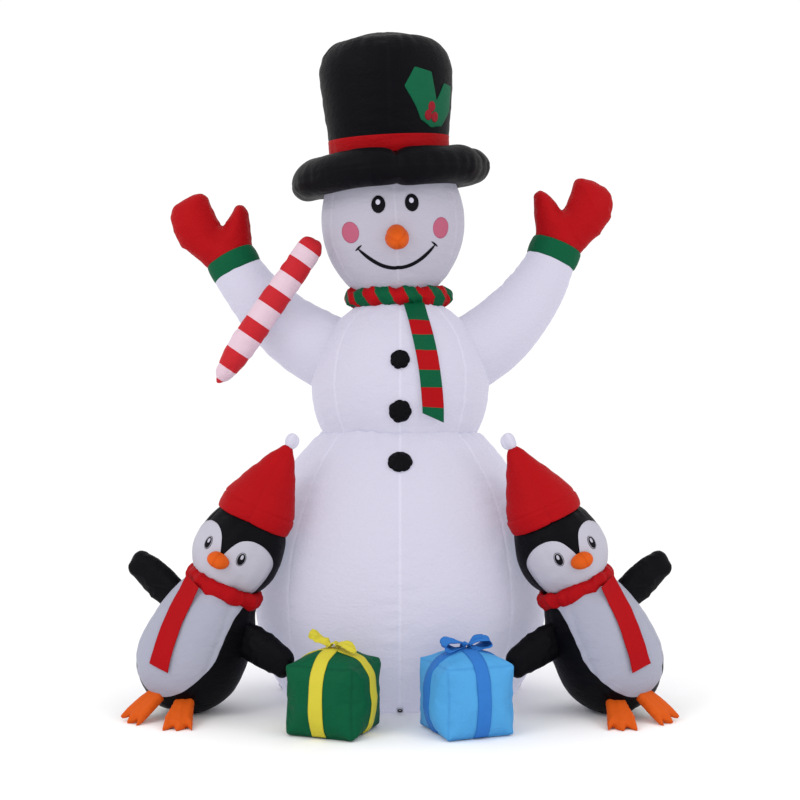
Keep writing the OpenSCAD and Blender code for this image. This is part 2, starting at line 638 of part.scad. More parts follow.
loop_angles = [-90, -8, 188, 50, 130];
loop_z = 12;
loop_lean = 35; // the wall leans out by this much just above the ground
loop_size = 22;
module at_loops() for (a = loop_angles) rotate([0, 0, a]) translate([egg_r(ball, loop_z + 2) + 3.2, 0, loop_z])
    rotate([0, 90 + loop_lean, 0]) children();
module stake_loops() color(white) at_loops() difference() {
    translate([-loop_size / 2, -loop_size / 2, -1.2]) cube([loop_size, loop_size, 2.4]);
    translate([0, 0, -2]) cylinder(r = eyelet_r + 2.2, h = 4);
}
module stake_eyelets() color(black) at_loops() rotate_extrude() polygon([
    [eyelet_r, -2.1], [eyelet_r + 4, -2.1], [eyelet_r + 4, -1.4], [eyelet_r + 2, -1.4],
    [eyelet_r + 2, 1.4], [eyelet_r + 4, 1.4], [eyelet_r + 4, 2.1], [eyelet_r, 2.1]]);

lower_body();
base_panel();
torso();
left_arm();
right_arm();
mitten_cuffs();
left_mitten();
right_mitten();
head();
hat_brim();
hat_crown();
hat_band();
holly_leaves();
holly_berries();
snowman_eyes();
snowman_cheeks();
snowman_nose();
snowman_mouth();
neck_scarf();
scarf_tail();
buttons();
candy_cane();
left_penguin_body();
right_penguin_body();
left_penguin_flippers();
right_penguin_flippers();
left_penguin_head();
right_penguin_head();
left_penguin_panels();
right_penguin_panels();
left_penguin_hat();
right_penguin_hat();
left_penguin_scarf();
right_penguin_scarf();
left_penguin_scarf_tail();
right_penguin_scarf_tail();
penguin_feet();
penguin_beaks();
penguin_eyes();
penguin_pompoms();
green_gift();
blue_gift();
green_gift_ribbon();
blue_gift_ribbon();
green_gift_bow();
blue_gift_bow();
air_sleeves();
blower_housing();
blower_collar();
blower_grille();
blower_motor();
blower_fan();
cord_gland();
light_cable();
light_lamps();
zip_tape();
zip_slider();
zip_pull();
stake_loops();
stake_eyelets();
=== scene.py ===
"""Looks of the inflatable yard snowman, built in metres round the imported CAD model."""
import math

import bmesh
import bpy
import numpy as np
from mathutils import Matrix, Vector
from mathutils.bvhtree import BVHTree


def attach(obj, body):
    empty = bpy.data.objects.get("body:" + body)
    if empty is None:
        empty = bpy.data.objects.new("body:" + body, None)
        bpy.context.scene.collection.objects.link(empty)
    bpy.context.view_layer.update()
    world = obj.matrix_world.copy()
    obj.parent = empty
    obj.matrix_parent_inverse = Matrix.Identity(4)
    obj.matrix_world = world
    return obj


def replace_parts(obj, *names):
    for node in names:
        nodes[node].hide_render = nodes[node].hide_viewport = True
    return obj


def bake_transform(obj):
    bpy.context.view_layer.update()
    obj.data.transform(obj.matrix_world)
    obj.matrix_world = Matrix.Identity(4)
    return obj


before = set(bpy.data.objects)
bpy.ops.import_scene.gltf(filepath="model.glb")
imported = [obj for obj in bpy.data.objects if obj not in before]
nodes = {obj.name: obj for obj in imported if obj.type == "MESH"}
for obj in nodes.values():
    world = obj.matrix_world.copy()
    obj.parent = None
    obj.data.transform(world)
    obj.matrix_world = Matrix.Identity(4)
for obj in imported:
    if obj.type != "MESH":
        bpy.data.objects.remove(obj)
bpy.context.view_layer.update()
scene = bpy.context.scene
rad = math.radians
TURN = 2 * math.pi

# ---- camera ----


def make_camera():
    data = bpy.data.cameras.new("camera")
    data.lens = 53.1
    data.sensor_width = 36
    data.shift_y = 0.04125
    camera = bpy.data.objects.new("camera", data)
    camera.location = (0, -4.3, 0.921)
    camera.rotation_euler = (rad(90), 0, 0)
    scene.collection.objects.link(camera)
    scene.camera = camera


make_camera()

# ---- materials ----


class Graph:
    """A short way to write a material's nodes."""

    def __init__(self, name):
        self.material = bpy.data.materials.new(name)
        self.material.use_nodes = True
        self.tree = self.material.node_tree
        self.shader = self.tree.nodes["Principled BSDF"]
        self.object = self.add("ShaderNodeTexCoord").outputs["Object"]

    def add(self, kind, **settings):
        node = self.tree.nodes.new(kind)
        for key, value in settings.items():
            setattr(node, key, value)
        return node

    def put(self, value, socket):
        if isinstance(value, bpy.types.NodeSocket):
            self.tree.links.new(value, socket)
        else:
            socket.default_value = value

    def scaled(self, scale):
        node = self.add("ShaderNodeMapping")
        self.put(self.object, node.inputs["Vector"])
        node.inputs["Scale"].default_value = scale
        return node.outputs["Vector"]

    def noise(self, scale, detail=2.0, stretch=(1, 1, 1), distortion=0.0):
        node = self.add("ShaderNodeTexNoise")
        self.put(self.scaled(tuple(scale * s for s in stretch)), node.inputs["Vector"])
        node.inputs["Scale"].default_value = 1.0
        node.inputs["Detail"].default_value = detail
        node.inputs["Distortion"].default_value = distortion
        return node.outputs["Fac"]

    def wave(self, axis, scale):
        node = self.add("ShaderNodeTexWave", bands_direction=axis)
        self.put(self.object, node.inputs["Vector"])
        node.inputs["Scale"].default_value = scale
        return node.outputs["Fac"]

    def math(self, operation, a, b=0.0, clamp=False):
        node = self.add("ShaderNodeMath", operation=operation, use_clamp=clamp)
        self.put(a, node.inputs[0])
        self.put(b, node.inputs[1])
        return node.outputs[0]

    def mix(self, factor, a, b):
        node = self.add("ShaderNodeMix", data_type="RGBA")
        self.put(factor, node.inputs["Factor"])
        self.put((*a, 1) if isinstance(a, tuple) else a, node.inputs["A"])
        self.put((*b, 1) if isinstance(b, tuple) else b, node.inputs["B"])
        return node.outputs["Result"]

    def bump(self, height, distance, strength=1.0, under=None):
        node = self.add("ShaderNodeBump")
        node.inputs["Distance"].default_value = distance
        node.inputs["Strength"].default_value = strength
        self.put(height, node.inputs["Height"])
        if under is not None:
            self.put(under, node.inputs["Normal"])
        return node.outputs["Normal"]

    def value(self, name, value):
        self.shader.inputs[name].default_value = value


def cloth(name, color, dark=0.86, rough=0.5, specular=0.3, sheen=0.15, crease=0.0022, seam=None,
          painted_glow=0.0):
    """Woven polyester: a fine weave, creases, a colour that varies a little, paler or darker seams, and a
    painted glow.
    """
    g = Graph(name)
    shade = tuple(c * dark for c in color)
    base = g.mix(g.noise(7.0, 3.0), shade, color)
    # the seam colour is painted along the seam lines; on the white cloth it is paler, painted light coming
    # through the seams
    if seam is not None:
        mark = g.add("ShaderNodeAttribute", attribute_name="seam").outputs["Fac"]
        base = g.mix(mark, base, seam)
    g.put(base, g.shader.inputs["Base Color"])
    weave = g.math("ADD", g.wave("X", 240.0), g.wave("Z", 240.0))
    fine = g.bump(weave, 0.0001, 0.5)
    folds = g.math("ADD", g.noise(26.0, 4.0, (1, 1, 2.2), 0.6), g.noise(70.0, 3.0, (1, 1, 1.6), 0.4))
    g.put(g.bump(folds, crease, 0.6, fine), g.shader.inputs["Normal"])
    g.put(g.math("MULTIPLY_ADD", g.noise(40.0), 0.16), g.shader.inputs["Roughness"])
    g.tree.nodes[-1].inputs[2].default_value = rough - 0.08
    g.value("Specular IOR Level", specular)
    g.value("Sheen Weight", sheen)
    g.value("Sheen Roughness", 0.4)
    # painted glow: an even lilac emission, from no lamp, that stands in for light coming through the thin
    # cloth
    g.value("Emission Color", (0.27, 0.28, 0.355, 1))
    g.value("Emission Strength", painted_glow)
    return g.material


def hard(name, color, rough, metallic=0.0, grain=320.0, depth=0.00012, coat=0.0):
    """Moulded plastic or metal: a fine grain, and a colour that varies a little."""
    g = Graph(name)
    g.put(g.mix(g.noise(18.0, 3.0), tuple(c * 0.8 for c in color), color), g.shader.inputs["Base Color"])
    g.put(g.bump(g.noise(grain, 2.0), depth, 0.5), g.shader.inputs["Normal"])
    g.put(g.math("MULTIPLY_ADD", g.noise(60.0), 0.14), g.shader.inputs["Roughness"])
    g.tree.nodes[-1].inputs[2].default_value = rough - 0.07
    g.value("Metallic", metallic)
    g.value("Coat Weight", coat)
    return g.material


# painted light: the white cloth glows evenly (emission 1.0), and its seams are painted paler, as light
# coming through the cloth
WHITE = cloth("white_cloth", (0.325, 0.300, 0.350), 0.96, 0.55, 0.10, 0.06, 0.0034, (0.37, 0.35, 0.40),
              1.0)
# the head's copy of the white cloth has half the painted glow, so the head is painted darker than the body
HEAD_WHITE = cloth("head_white", (0.325, 0.300, 0.350), 0.96, 0.55, 0.10, 0.06, 0.0034,
                   (0.37, 0.35, 0.40), 0.5)
PANEL = cloth("panel_cloth", (0.45, 0.435, 0.51), 0.95, 0.55, 0.14, 0.05, 0.002)
# painted shade: the belly is the face panel's pale cloth, painted darker because it lies in shade
BELLY_SHADED = cloth("belly_cloth_painted_shade", (0.34, 0.345, 0.43), 0.95, 0.55, 0.14, 0.05, 0.003)
BLACK = cloth("black_cloth", (0.0022, 0.0022, 0.0038), 0.7, 0.5, 0.06, 0.0, 0.003,
              (0.0025, 0.0025, 0.0035))
PRINT = cloth("black_print", (0.0045, 0.0045, 0.007), 0.8, 0.55, 0.06, 0.0)
RED = cloth("red_cloth", (0.385, 0.004, 0.007), 0.82, 0.55, 0.05, 0.0, 0.003, (0.345, 0.004, 0.007))
GREEN = cloth("green_cloth", (0.0025, 0.092, 0.038), 0.82, 0.55, 0.06, 0.0, 0.003, (0.002, 0.07, 0.03))
LEAF = cloth("leaf_cloth", (0.004, 0.105, 0.048), 0.85, 0.55, 0.08, 0.0)
BERRY = cloth("berry_cloth", (0.27, 0.010, 0.020), 0.85, 0.55, 0.08, 0.0)
ORANGE = cloth("orange_cloth", (0.63, 0.096, 0.009), 0.88, 0.55, 0.06, 0.0, 0.003, (0.54, 0.075, 0.006))
PINK = cloth("pink_cloth", (0.44, 0.105, 0.175), 0.94, 0.55, 0.08, 0.0)
CANE_RED = cloth("cane_red", (0.50, 0.018, 0.026), 0.86, 0.55, 0.08, 0.0, 0.003)
CANE_WHITE = cloth("cane_white", (0.65, 0.48, 0.56), 0.95, 0.55, 0.14, 0.05)
BLUE = cloth("blue_cloth", (0.075, 0.33, 0.66), 0.9, 0.55, 0.08, 0.0, 0.003, (0.06, 0.27, 0.58))
YELLOW = cloth("yellow_ribbon", (0.60, 0.52, 0.045), 0.86, 0.55, 0.08, 0.0, 0.002)
RIBBON_BLUE = cloth("blue_ribbon", (0.03, 0.17, 0.52), 0.88, 0.55, 0.08, 0.0, 0.002)
WEBBING = cloth("loop_webbing", (0.62, 0.62, 0.67), 0.8, 0.6, 0.2, 0.1)
TAPE = cloth("zip_tape", (0.6, 0.6, 0.65), 0.85, 0.6, 0.2, 0.1)
NYLON = hard("zip_nylon", (0.55, 0.55, 0.58), 0.4)
HOUSING = hard("housing_plastic", (0.03, 0.03, 0.034), 0.5, 0, 900.0, 0.0002)
FAN = hard("fan_plastic", (0.62, 0.62, 0.58), 0.42)
MOTOR = hard("motor_metal", (0.5, 0.5, 0.52), 0.34, 1.0, 700.0)
CABLE = hard("cable_plastic", (0.02, 0.16, 0.06), 0.36)
LAMP = hard("lamp_plastic", (0.82, 0.86, 1.0), 0.16, 0, 200.0, 0.00005, 0.4)
ZIP_METAL = hard("zip_metal", (0.6, 0.6, 0.62), 0.28, 1.0, 800.0)
EYELET = hard("eyelet_metal", (0.06, 0.06, 0.065), 0.32, 1.0, 800.0)

# ---- random fields, outlines and meshes ----


def bell(away, width):
    """A bump of height 1 that fades over about a width."""
    return np.exp(-(away / width) ** 2)


def circle(count):
    """Evenly spaced angles round a full turn."""
    return np.linspace(0, TURN, count, endpoint=False)


def polar(r, phi, z):
    """Points at a turn phi from the front, round the Z axis."""
    return np.stack(np.broadcast_arrays(r * np.sin(phi), -r * np.cos(phi), z), -1)


def carry(points, own):
    """Points of a chamber's own frame, in the frame of the whole object."""
    own = np.array(own, float)
    return points @ own[:3, :3].T + own[:3, 3]


def unit(v):
    return v / np.maximum(np.linalg.norm(v, axis=-1, keepdims=True), 1e-9)


def turn_from(phi, angle):
    """How far phi is from an angle in degrees, the short way round."""
    return (phi - rad(angle) + math.pi) % TURN - math.pi


def waves(points, length, seed, count=16):
    """A smooth random field of about -1 to 1, summed from plane waves of about one length."""
    rng = np.random.default_rng(seed)
    ways = unit(rng.normal(size=(count, points.shape[-1])))
    speed = TURN / (length * rng.uniform(0.75, 1.6, count))
    start = rng.uniform(0, TURN, count)
    total = np.zeros(points.shape[:-1])
    for way, k, turn in zip(ways, speed, start):
        total += np.sin((points @ way) * k + turn)
    return total / math.sqrt(2 * count)


def creases(field, sharp=2.2):
    """Turns a smooth field into narrow folds with flat cloth between them."""
    return 1 - np.abs(np.tanh(sharp * field)) * 2


def smooth_path(points, count, passes=3):
    """Even points along a line through the given ones, with its corners rounded."""
    path = np.array(points, float)
    for _ in range(passes):
        cut = np.empty((2 * len(path) - 2, path.shape[1]))
        cut[0::2] = path[:-1] * 0.75 + path[1:] * 0.25
        cut[1::2] = path[:-1] * 0.25 + path[1:] * 0.75
        path = np.vstack([path[:1], cut, path[-1:]])
    return even(path, count)


def even(path, count):
    """The same line with count evenly spaced points."""
    step = np.linalg.norm(np.diff(path, axis=0), axis=1)
    along = np.concatenate([[0], np.cumsum(step)])
    at = np.linspace(0, along[-1], count)
    return np.stack([np.interp(at, along, path[:, k]) for k in range(path.shape[1])], -1)


def length_of(line):
    return float(np.linalg.norm(np.diff(np.array(line, float), axis=0), axis=1).sum())


def egg(radius, below, above, mid, z0, z1, count=80):
    """Outline of an egg from height z0 to z1, as in the CAD model: [radius, height] points."""
    def angle(z):
        return math.asin(max(-1.0, (z - mid) / (below if z < mid else above)))

    a = np.linspace(angle(z0), angle(z1), count)
    return np.stack([radius * np.cos(a), mid + np.where(a < 0, below, above) * np.sin(a)], -1)


def quads(rows, columns, wrap_rows=False, wrap_columns=True):
    """Faces of a grid of points, row after row."""
    i = np.arange(rows if wrap_rows else rows - 1)[:, None]
    j = np.arange(columns if wrap_columns else columns - 1)[None, :]
    a, b = i * columns + j, i * columns + (j + 1) % columns
    c, d = ((i + 1) % rows) * columns + (j + 1) % columns, ((i + 1) % rows) * columns + j
    return np.stack([a + 0 * d, b + 0 * d, c, d], -1).reshape(-1, 4)


def add_object(name, mesh):
    piece = bpy.data.objects.new(name, mesh)
    scene.collection.objects.link(piece)
    return piece


def take_mesh(work, name):
    """Ends a bmesh, and gives its mesh."""
    mesh = bpy.data.meshes.new(name)
    work.to_mesh(mesh)
    work.free()
    return mesh


def build(name, points, faces, materials, which=None, seam=None, clean=False):
    """A mesh object, turned outside out if its faces look inwards."""
    faces = [list(f) for f in faces]
    tri = np.array([(f[0], f[k], f[k + 1]) for f in faces for k in range(1, len(f) - 1)])
    p = points - points.mean(0)
    if np.einsum("ij,ij->", p[tri[:, 0]], np.cross(p[tri[:, 1]], p[tri[:, 2]])) < 0:
        faces = [f[::-1] for f in faces]
    mesh = bpy.data.meshes.new(name)
    mesh.from_pydata(points.tolist(), [], faces)
    for m in materials:
        mesh.materials.append(m)
    if which is not None:
        mesh.polygons.foreach_set("material_index", np.asarray(which, np.int32))
    if seam is not None:
        mesh.attributes.new("seam", "FLOAT", "POINT").data.foreach_set("value", seam.astype(np.float32))
    mesh.polygons.foreach_set("use_smooth", np.ones(len(faces), bool))
    if clean:
        work = bmesh.new()
        work.from_mesh(mesh)
        bmesh.ops.remove_doubles(work, verts=work.verts, dist=1e-5)
        bmesh.ops.dissolve_degenerate(work, edges=work.edges, dist=1e-6)
        work.to_mesh(mesh)
        work.free()
    mesh.update()
    return add_object(name, mesh)


def place(piece, slot, *stands_for, body="root"):
    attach(piece, body)
    if stands_for:
        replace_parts(piece, *stands_for)
    return piece


def tube_mesh(name, grid, materials, which=None, seam=None, caps=True):
    """A closed skin over a grid of rings, capped at both ends."""
    rows, columns = grid.shape[:2]
    points = grid.reshape(-1, 3)
    faces = quads(rows, columns).tolist()
    kinds = None if which is None else list(which.reshape(-1))
    marks = None if seam is None else seam.reshape(-1)
    if caps:
        points = np.vstack([points, grid[0].mean(0), grid[-1].mean(0)])
        first, last, top = rows * columns, rows * columns + 1, (rows - 1) * columns
        for j in range(columns):
            k = (j + 1) % columns
            faces += [[first, k, j], [last, top + j, top + k]]
        if kinds is not None:
            kinds += [kinds[0], kinds[-1]] * columns
        if marks is not None:
            marks = np.concatenate([marks, [0, 0]])
    return build(name, points, faces, materials, kinds, marks, clean=caps)


def slab_mesh(name, top, under, materials, which=None, wrap=False):
    """A thin closed piece between two matching grids."""
    rows, columns = top.shape[:2]
    points = np.vstack([top.reshape(-1, 3), under.reshape(-1, 3)])
    shift = rows * columns
    face = quads(rows, columns, False, wrap)
    sides = []
    for j in range(columns if wrap else columns - 1):
        k, last = (j + 1) % columns, (rows - 1) * columns
        sides += [[k, j, j + shift, k + shift], [last + j, last + k, last + k + shift, last + j + shift]]
    if not wrap:
        for i in range(rows - 1):
            a, b, right = i * columns, (i + 1) * columns, columns - 1
            sides += [[a, b, b + shift, a + shift], [b + right, a + right, a + right + shift,
                                                     b + right + shift]]
    faces = face.tolist() + (face + shift)[:, ::-1].tolist() + sides
    kinds = None
    if which is not None:
        kinds = list(which.reshape(-1)) * 2 + [int(which.reshape(-1)[0])] * len(sides)
    return build(name, points, faces, materials, kinds, clean=True)


# ---- round chambers ----


class Round:
    """A puffed round chamber: an outline turned about its axis, sewn from gores, folded at its seams."""

    def __init__(self, own, outline, gores=8, first=0.0, seed=1, bulge=0.004, groove=0.004, pucker=0.0022,
                 ends=(0.004, 0.004), soft=0.003, groove_w=0.006, reach=0.06):
        self.own = np.array(own, float)
        line = even(np.array(outline, float), 400)
        for _ in range(12):
            line[1:-1] = (line[:-2] + line[1:-1] * 2 + line[2:]) / 4
        self.r, self.z = line[:, 0], line[:, 1]
        self.s = np.linspace(0, 1, 400)
        way = unit(np.gradient(line, axis=0))
        self.nr, self.nz = way[:, 1], -way[:, 0]
        self.length = length_of(line)
        self.gores, self.first, self.seed = gores, rad(first), seed
        self.bulge, self.groove, self.pucker, self.ends = bulge, groove, pucker, ends
        self.soft, self.groove_w, self.reach = soft, groove_w, reach

    def seam_distance(self, phi, r):
        part = (phi - self.first) / (TURN / self.gores)
        share = part - np.floor(part)
        return share, np.minimum(share, 1 - share) * TURN / self.gores * r

    def lift(self, phi, s):
        """How far the cloth stands out from the outline."""
        r, z = np.interp(s, self.s, self.r), np.interp(s, self.s, self.z)
        share, away = self.seam_distance(phi, r)
        fade = np.clip(r / self.r.max(), 0, 1)
        x, y = r * np.sin(phi), -r * np.cos(phi)
        out = self.bulge * (np.sin(math.pi * share) - 1) * fade
        out -= self.groove * bell(away, self.groove_w) * fade
        across = waves(np.stack([x * 0.25, y * 0.25, z], -1), 0.034, self.seed)
        out += self.pucker * np.exp(-away / self.reach) * across * (1 - bell(away, 0.008) * 0.4)
        round_it = waves(np.stack([x, y, z * 0.22], -1), 0.045, self.seed + 1)
        first, last = (np.exp(-share * self.length / 0.06) for share in (s, 1 - s))
        out += (self.ends[0] * first + self.ends[1] * last) * round_it
        return out + self.soft * waves(np.stack([x, y, z], -1), 0.3, self.seed + 2)

    def at(self, phi, s, out=0.0):
        phi, s = np.broadcast_arrays(np.asarray(phi, float), np.asarray(s, float))
        rise = self.lift(phi, s) + out
        r = np.interp(s, self.s, self.r) + np.interp(s, self.s, self.nr) * rise
        z = np.interp(s, self.s, self.z) + np.interp(s, self.s, self.nz) * rise
        return carry(polar(np.maximum(r, 0), phi, z), self.own)

    def s_of(self, z):
        return np.interp(z, self.z, self.s)

    def front(self, x, z, turn=0.0, out=0.0):
        """The points above a flat drawing x, z that faces the given turn."""
        r = np.interp(z, self.z, self.r)
        return self.at(rad(turn) + np.arcsin(np.clip(x / r, -1, 1)), self.s_of(z), out)

    def mesh(self, name, columns, rows, material, caps=True):
        """columns are per gore, and lie closer at the seams."""
        t = np.arange(columns) / columns
        t = t - 0.72 * np.sin(TURN * t) / TURN
        phi = (np.arange(self.gores)[:, None] + t[None, :]).reshape(-1) * TURN / self.gores + self.first
        s = np.linspace(0, 1, rows)
        phi, s = np.meshgrid(phi, s)
        away = self.seam_distance(phi, np.interp(s, self.s, self.r))[1]
        mark = bell(away, 0.0045)
        return tube_mesh(name, self.at(phi, s), [material], None, mark, caps)


def disc(surface, outline, turn, centre, out, name, material, rings=10, thick=0.0012):
    """A patch on a round chamber with a closed outline, drawn in rings about its centre."""
    share = np.linspace(0, 1, rings)[:, None]
    x = centre[0] + outline[None, :, 0] * share
    z = centre[1] + outline[None, :, 1] * share
    top = surface.front(x, z, turn, out + thick)
    under = surface.front(x, z, turn, out)
    return slab_mesh(name, top, under, [material], wrap=True)


def oval(a, b, count=48):
    t = circle(count)
    return np.stack([a * np.cos(t), b * np.sin(t)], -1)


def ribbon(surface, left, right, turn, out, name, material, columns=5, thick=0.0012):
    """A patch between two edge lines of a flat drawing."""
    u = np.linspace(0, 1, columns)[None, :]
    x = left[:, 0:1] * (1 - u) + right[:, 0:1] * u
    z = left[:, 1:2] * (1 - u) + right[:, 1:2] * u
    return slab_mesh(name, surface.front(x, z, turn, out + thick), surface.front(x, z, turn, out),
                     [material])


def join(name, pieces):
    """Joins meshes into one piece."""
    for o in bpy.context.selected_objects:
        o.select_set(False)
    for o in pieces:
        o.select_set(True)
    bpy.context.view_layer.objects.active = pieces[0]
    bpy.ops.object.join()
    pieces[0].name = name
    return pieces[0]


# ---- puffed chambers of free shape ----


def ball_points(centre, radius, depth, count):
    """Points spread evenly over a ball, flattened to a share of its depth in Y."""
    k = np.arange(count) + 0.5
    rise = 1 - 2 * k / count
    turn = k * math.pi * (3 - math.sqrt(5))
    flat = np.sqrt(1 - rise ** 2)
    ways = np.stack([flat * np.cos(turn), flat * np.sin(turn) * depth, rise], -1)
    return np.array(centre) + ways * radius


def run_of_balls(groups):
    """A mesh of overlapping hulls, each round two groups of balls [centre, radius, depth, count]."""
    work = bmesh.new()
    for pair in zip(groups[:-1], groups[1:]):
        balls = pair[0] + pair[1]
        corners = [work.verts.new(p) for one in balls for p in ball_points(*one)]
        hull = bmesh.ops.convex_hull(work, input=corners)
        spare = hull["geom_interior"] + hull["geom_unused"]
        loose = {e for e in spare if isinstance(e, bmesh.types.BMVert)}
        bmesh.ops.delete(work, geom=list(loose), context="VERTS")
    return take_mesh(work, "run")


def apply_modifiers(piece):
    shown = bpy.context.evaluated_depsgraph_get()
    mesh = bpy.data.meshes.new_from_object(piece.evaluated_get(shown))
    piece.modifiers.clear()
    piece.data = mesh


def coords(piece):
    out = np.empty(len(piece.data.vertices) * 3)
    piece.data.vertices.foreach_get("co", out)
    return out.reshape(-1, 3)


def set_coords(piece, points):
    piece.data.vertices.foreach_set("co", points.astype(np.float32).ravel())
    piece.data.update()


def normals(piece):
    out = np.empty(len(piece.data.vertices) * 3, np.float32)
    piece.data.vertex_normals.foreach_get("vector", out)
    return out.reshape(-1, 3).astype(float)


def remesh(name, mesh, voxel, smooth):
    """One closed skin round everything in the mesh."""
    piece = add_object(name, mesh)
    grid = piece.modifiers.new("remesh", "REMESH")
    grid.mode = "VOXEL"
    grid.voxel_size = voxel
    ease = piece.modifiers.new("smooth", "SMOOTH")
    ease.factor = 0.5
    ease.iterations = smooth
    apply_modifiers(piece)
    return piece


def inflate(piece, pressure, cap, frames, stiff=12.0):
    """Blows the cloth up with air, and lets no point move further than cap."""
    start = coords(piece)
    cloth_mod = piece.modifiers.new("cloth", "CLOTH")
    set_up = cloth_mod.settings
    set_up.quality = 6
    set_up.mass = 0.15
    set_up.tension_stiffness = set_up.compression_stiffness = stiff
    set_up.shear_stiffness = stiff / 2
    set_up.bending_stiffness = 0.05
    set_up.use_pressure = True
    set_up.uniform_pressure_force = pressure
    set_up.effector_weights.gravity = 0
    cloth_mod.collision_settings.use_collision = False
    cloth_mod.point_cache.frame_start = 1
    cloth_mod.point_cache.frame_end = frames
    for f in range(1, frames + 1):
        scene.frame_set(f)
    apply_modifiers(piece)
    move = coords(piece) - start
    size = np.linalg.norm(move, axis=1, keepdims=True)
    set_coords(piece, start + move * np.minimum(1, cap / np.maximum(size, 1e-9)))
    scene.frame_set(1)


def stand(piece, height):
    """Flattens what is lower than a height."""
    p = coords(piece)
    p[:, 2] = np.maximum(p[:, 2], height)
    set_coords(piece, p)


def wrinkle(piece, amounts):
    """Moves each point along its normal."""
    set_coords(piece, coords(piece) + normals(piece) * amounts[:, None])


def finish_cloth(piece, material):
    piece.data.materials.clear()
    piece.data.materials.append(material)
    fine = piece.modifiers.new("fine", "SUBSURF")
    fine.levels = fine.render_levels = 1
    apply_modifiers(piece)
    piece.data.polygons.foreach_set("use_smooth", np.ones(len(piece.data.polygons), bool))
    piece.data.update()


def mark_seam(piece, marks):
    layer = piece.data.attributes.get("seam") or piece.data.attributes.new("seam", "FLOAT", "POINT")
    layer.data.foreach_set("value", marks.astype(np.float32))


# ---- frames, the same as the CAD model's ----


def turned(x=0.0, y=0.0, z=0.0):
    """OpenSCAD's rotate([x, y, z]) as a matrix."""
    about = [Matrix.Rotation(rad(angle), 4, axis) for angle, axis in ((z, "Z"), (y, "Y"), (x, "X"))]
    return about[0] @ about[1] @ about[2]


def moved(x, y, z):
    return Matrix.Translation((x, y, z))


def mirrored(side):
    return Matrix.Diagonal((1 - 2 * side, 1, 1, 1))


IDENTITY = Matrix.Identity(4)
HEAD = moved(-0.012, 0, 1.410) @ turned(9, -3)
FACE_TURN = 2.4
WAIST = 0.920
ZIP_Z, ZIP_START, ZIP_SPAN, ZIP_R = 0.300, 108, 54, 0.5308
NECK = 1.387

# ---- snowman: ball, torso, arms ----

BALL_R, BALL_BELOW, BALL_MID = 0.530, 0.557, 0.340
ball = Round(IDENTITY, egg(BALL_R, BALL_BELOW, 0.695, BALL_MID, 0.001, WAIST + 0.003), 8, 0, 11, 0.0045,
             0.0022, 0.0026, (0.003, 0.005), 0.004)
chest = Round(IDENTITY, egg(0.325, 0.362, 0.319, 1.100, WAIST - 0.006, NECK), 8, 0, 21, 0.004,
              0.0022, 0.0026, (0.005, 0.004), 0.003)
ball_lift = ball.lift


def ball_with_zip(phi, s):
    """The ball's cloth lies flat under the zip."""
    z = np.interp(s, ball.s, ball.z)
    from_middle = np.abs(np.degrees(phi) % 360 - ZIP_START - ZIP_SPAN / 2 - 90)
    along = np.maximum(from_middle - (ZIP_SPAN / 2 + 6), 0)
    near = np.exp(-(along / 6) ** 2 - (np.maximum(np.abs(z - ZIP_Z) - 0.026, 0) / 0.014) ** 2)
    return ball_lift(phi, s) * (1 - near) - 0.0018 * near


ball.lift = ball_with_zip


def make_bodies():
    place(ball.mesh("lower_body_cloth", 44, 260, WHITE), "white_cloth", "lower_body", "base_panel")
    place(chest.mesh("torso_cloth", 34, 150, WHITE), "white_cloth", "torso")


ARMS = {
    "left": [(-0.200, 1.188, 0.134), (-0.235, 1.200, 0.138), (-0.330, 1.250, 0.132),
             (-0.430, 1.320, 0.120), (-0.525, 1.415, 0.102), (-0.588, 1.504, 0.092),
             (-0.592, 1.512, 0.091)],
    "right": [(0.200, 1.186, 0.134), (0.235, 1.198, 0.138), (0.330, 1.258, 0.132), (0.420, 1.342, 0.121),
              (0.503, 1.450, 0.102), (0.547, 1.544, 0.091), (0.550, 1.551, 0.090)],
}
WRISTS = {"left": moved(-0.588, 0, 1.504) @ turned(0, -28), "right": moved(0.547, 0, 1.544)
          @ turned(0, 23)}


def make_arm(side, seed):
    """A curved sleeve with a seam along its top and bottom, and folds on the inside of its bend."""
    path = smooth_path(ARMS[side], 150)
    centre, radius = path[:, :2], path[:, 2]
    way = unit(np.gradient(centre, axis=0))
    up = np.stack([-way[:, 1], way[:, 0]], -1) * (1 if side == "right" else -1)
    t = np.arange(128) / 128
    theta = (t - 0.5 * np.sin(4 * math.pi * t) / (4 * math.pi)) * TURN
    # theta 0 is the upper, inner side of the bend, and half a turn is the underside
    along = np.linspace(0, 1, len(path))[:, None] * length_of(centre)
    seam_away = np.minimum(np.abs(np.sin(theta / 2)), np.abs(np.cos(theta / 2))) * 2 * radius[:, None]
    r = np.broadcast_to(radius[:, None], seam_away.shape)
    base = np.stack([np.broadcast_to(along, r.shape), r * np.cos(theta), r * np.sin(theta)], -1)
    bend = bell(along - along.max() * 0.62, 0.1) * np.clip(np.cos(theta), 0, 1)[None, :]
    lift = -0.003 * bell(seam_away, 0.006)
    lift += 0.0012 * np.exp(-seam_away / 0.07) * waves(base * [1, 0.3, 0.3], 0.034, seed)
    lift += 0.0026 * bend * waves(base * [1, 0.2, 0.2], 0.05, seed + 1)
    lift += 0.003 * np.exp(-along / 0.12) * waves(base * [0.25, 1, 1], 0.05, seed + 2)
    lift += 0.0006 * np.exp(-(along.max() - along) / 0.05) * waves(base * [0.3, 1, 1], 0.035, seed + 3)
    lift += 0.0022 * waves(base, 0.2, seed + 4)
    r = r + lift
    x = centre[:, 0:1] + up[:, 0:1] * r * np.cos(theta)
    z = centre[:, 1:2] + up[:, 1:2] * r * np.cos(theta)
    grid = np.stack([x, r * np.sin(theta), z], -1)
    piece = tube_mesh(f"{side}_arm_cloth", grid, [WHITE], None, bell(seam_away, 0.0045))
    place(piece, "white_cloth", f"{side}_arm")


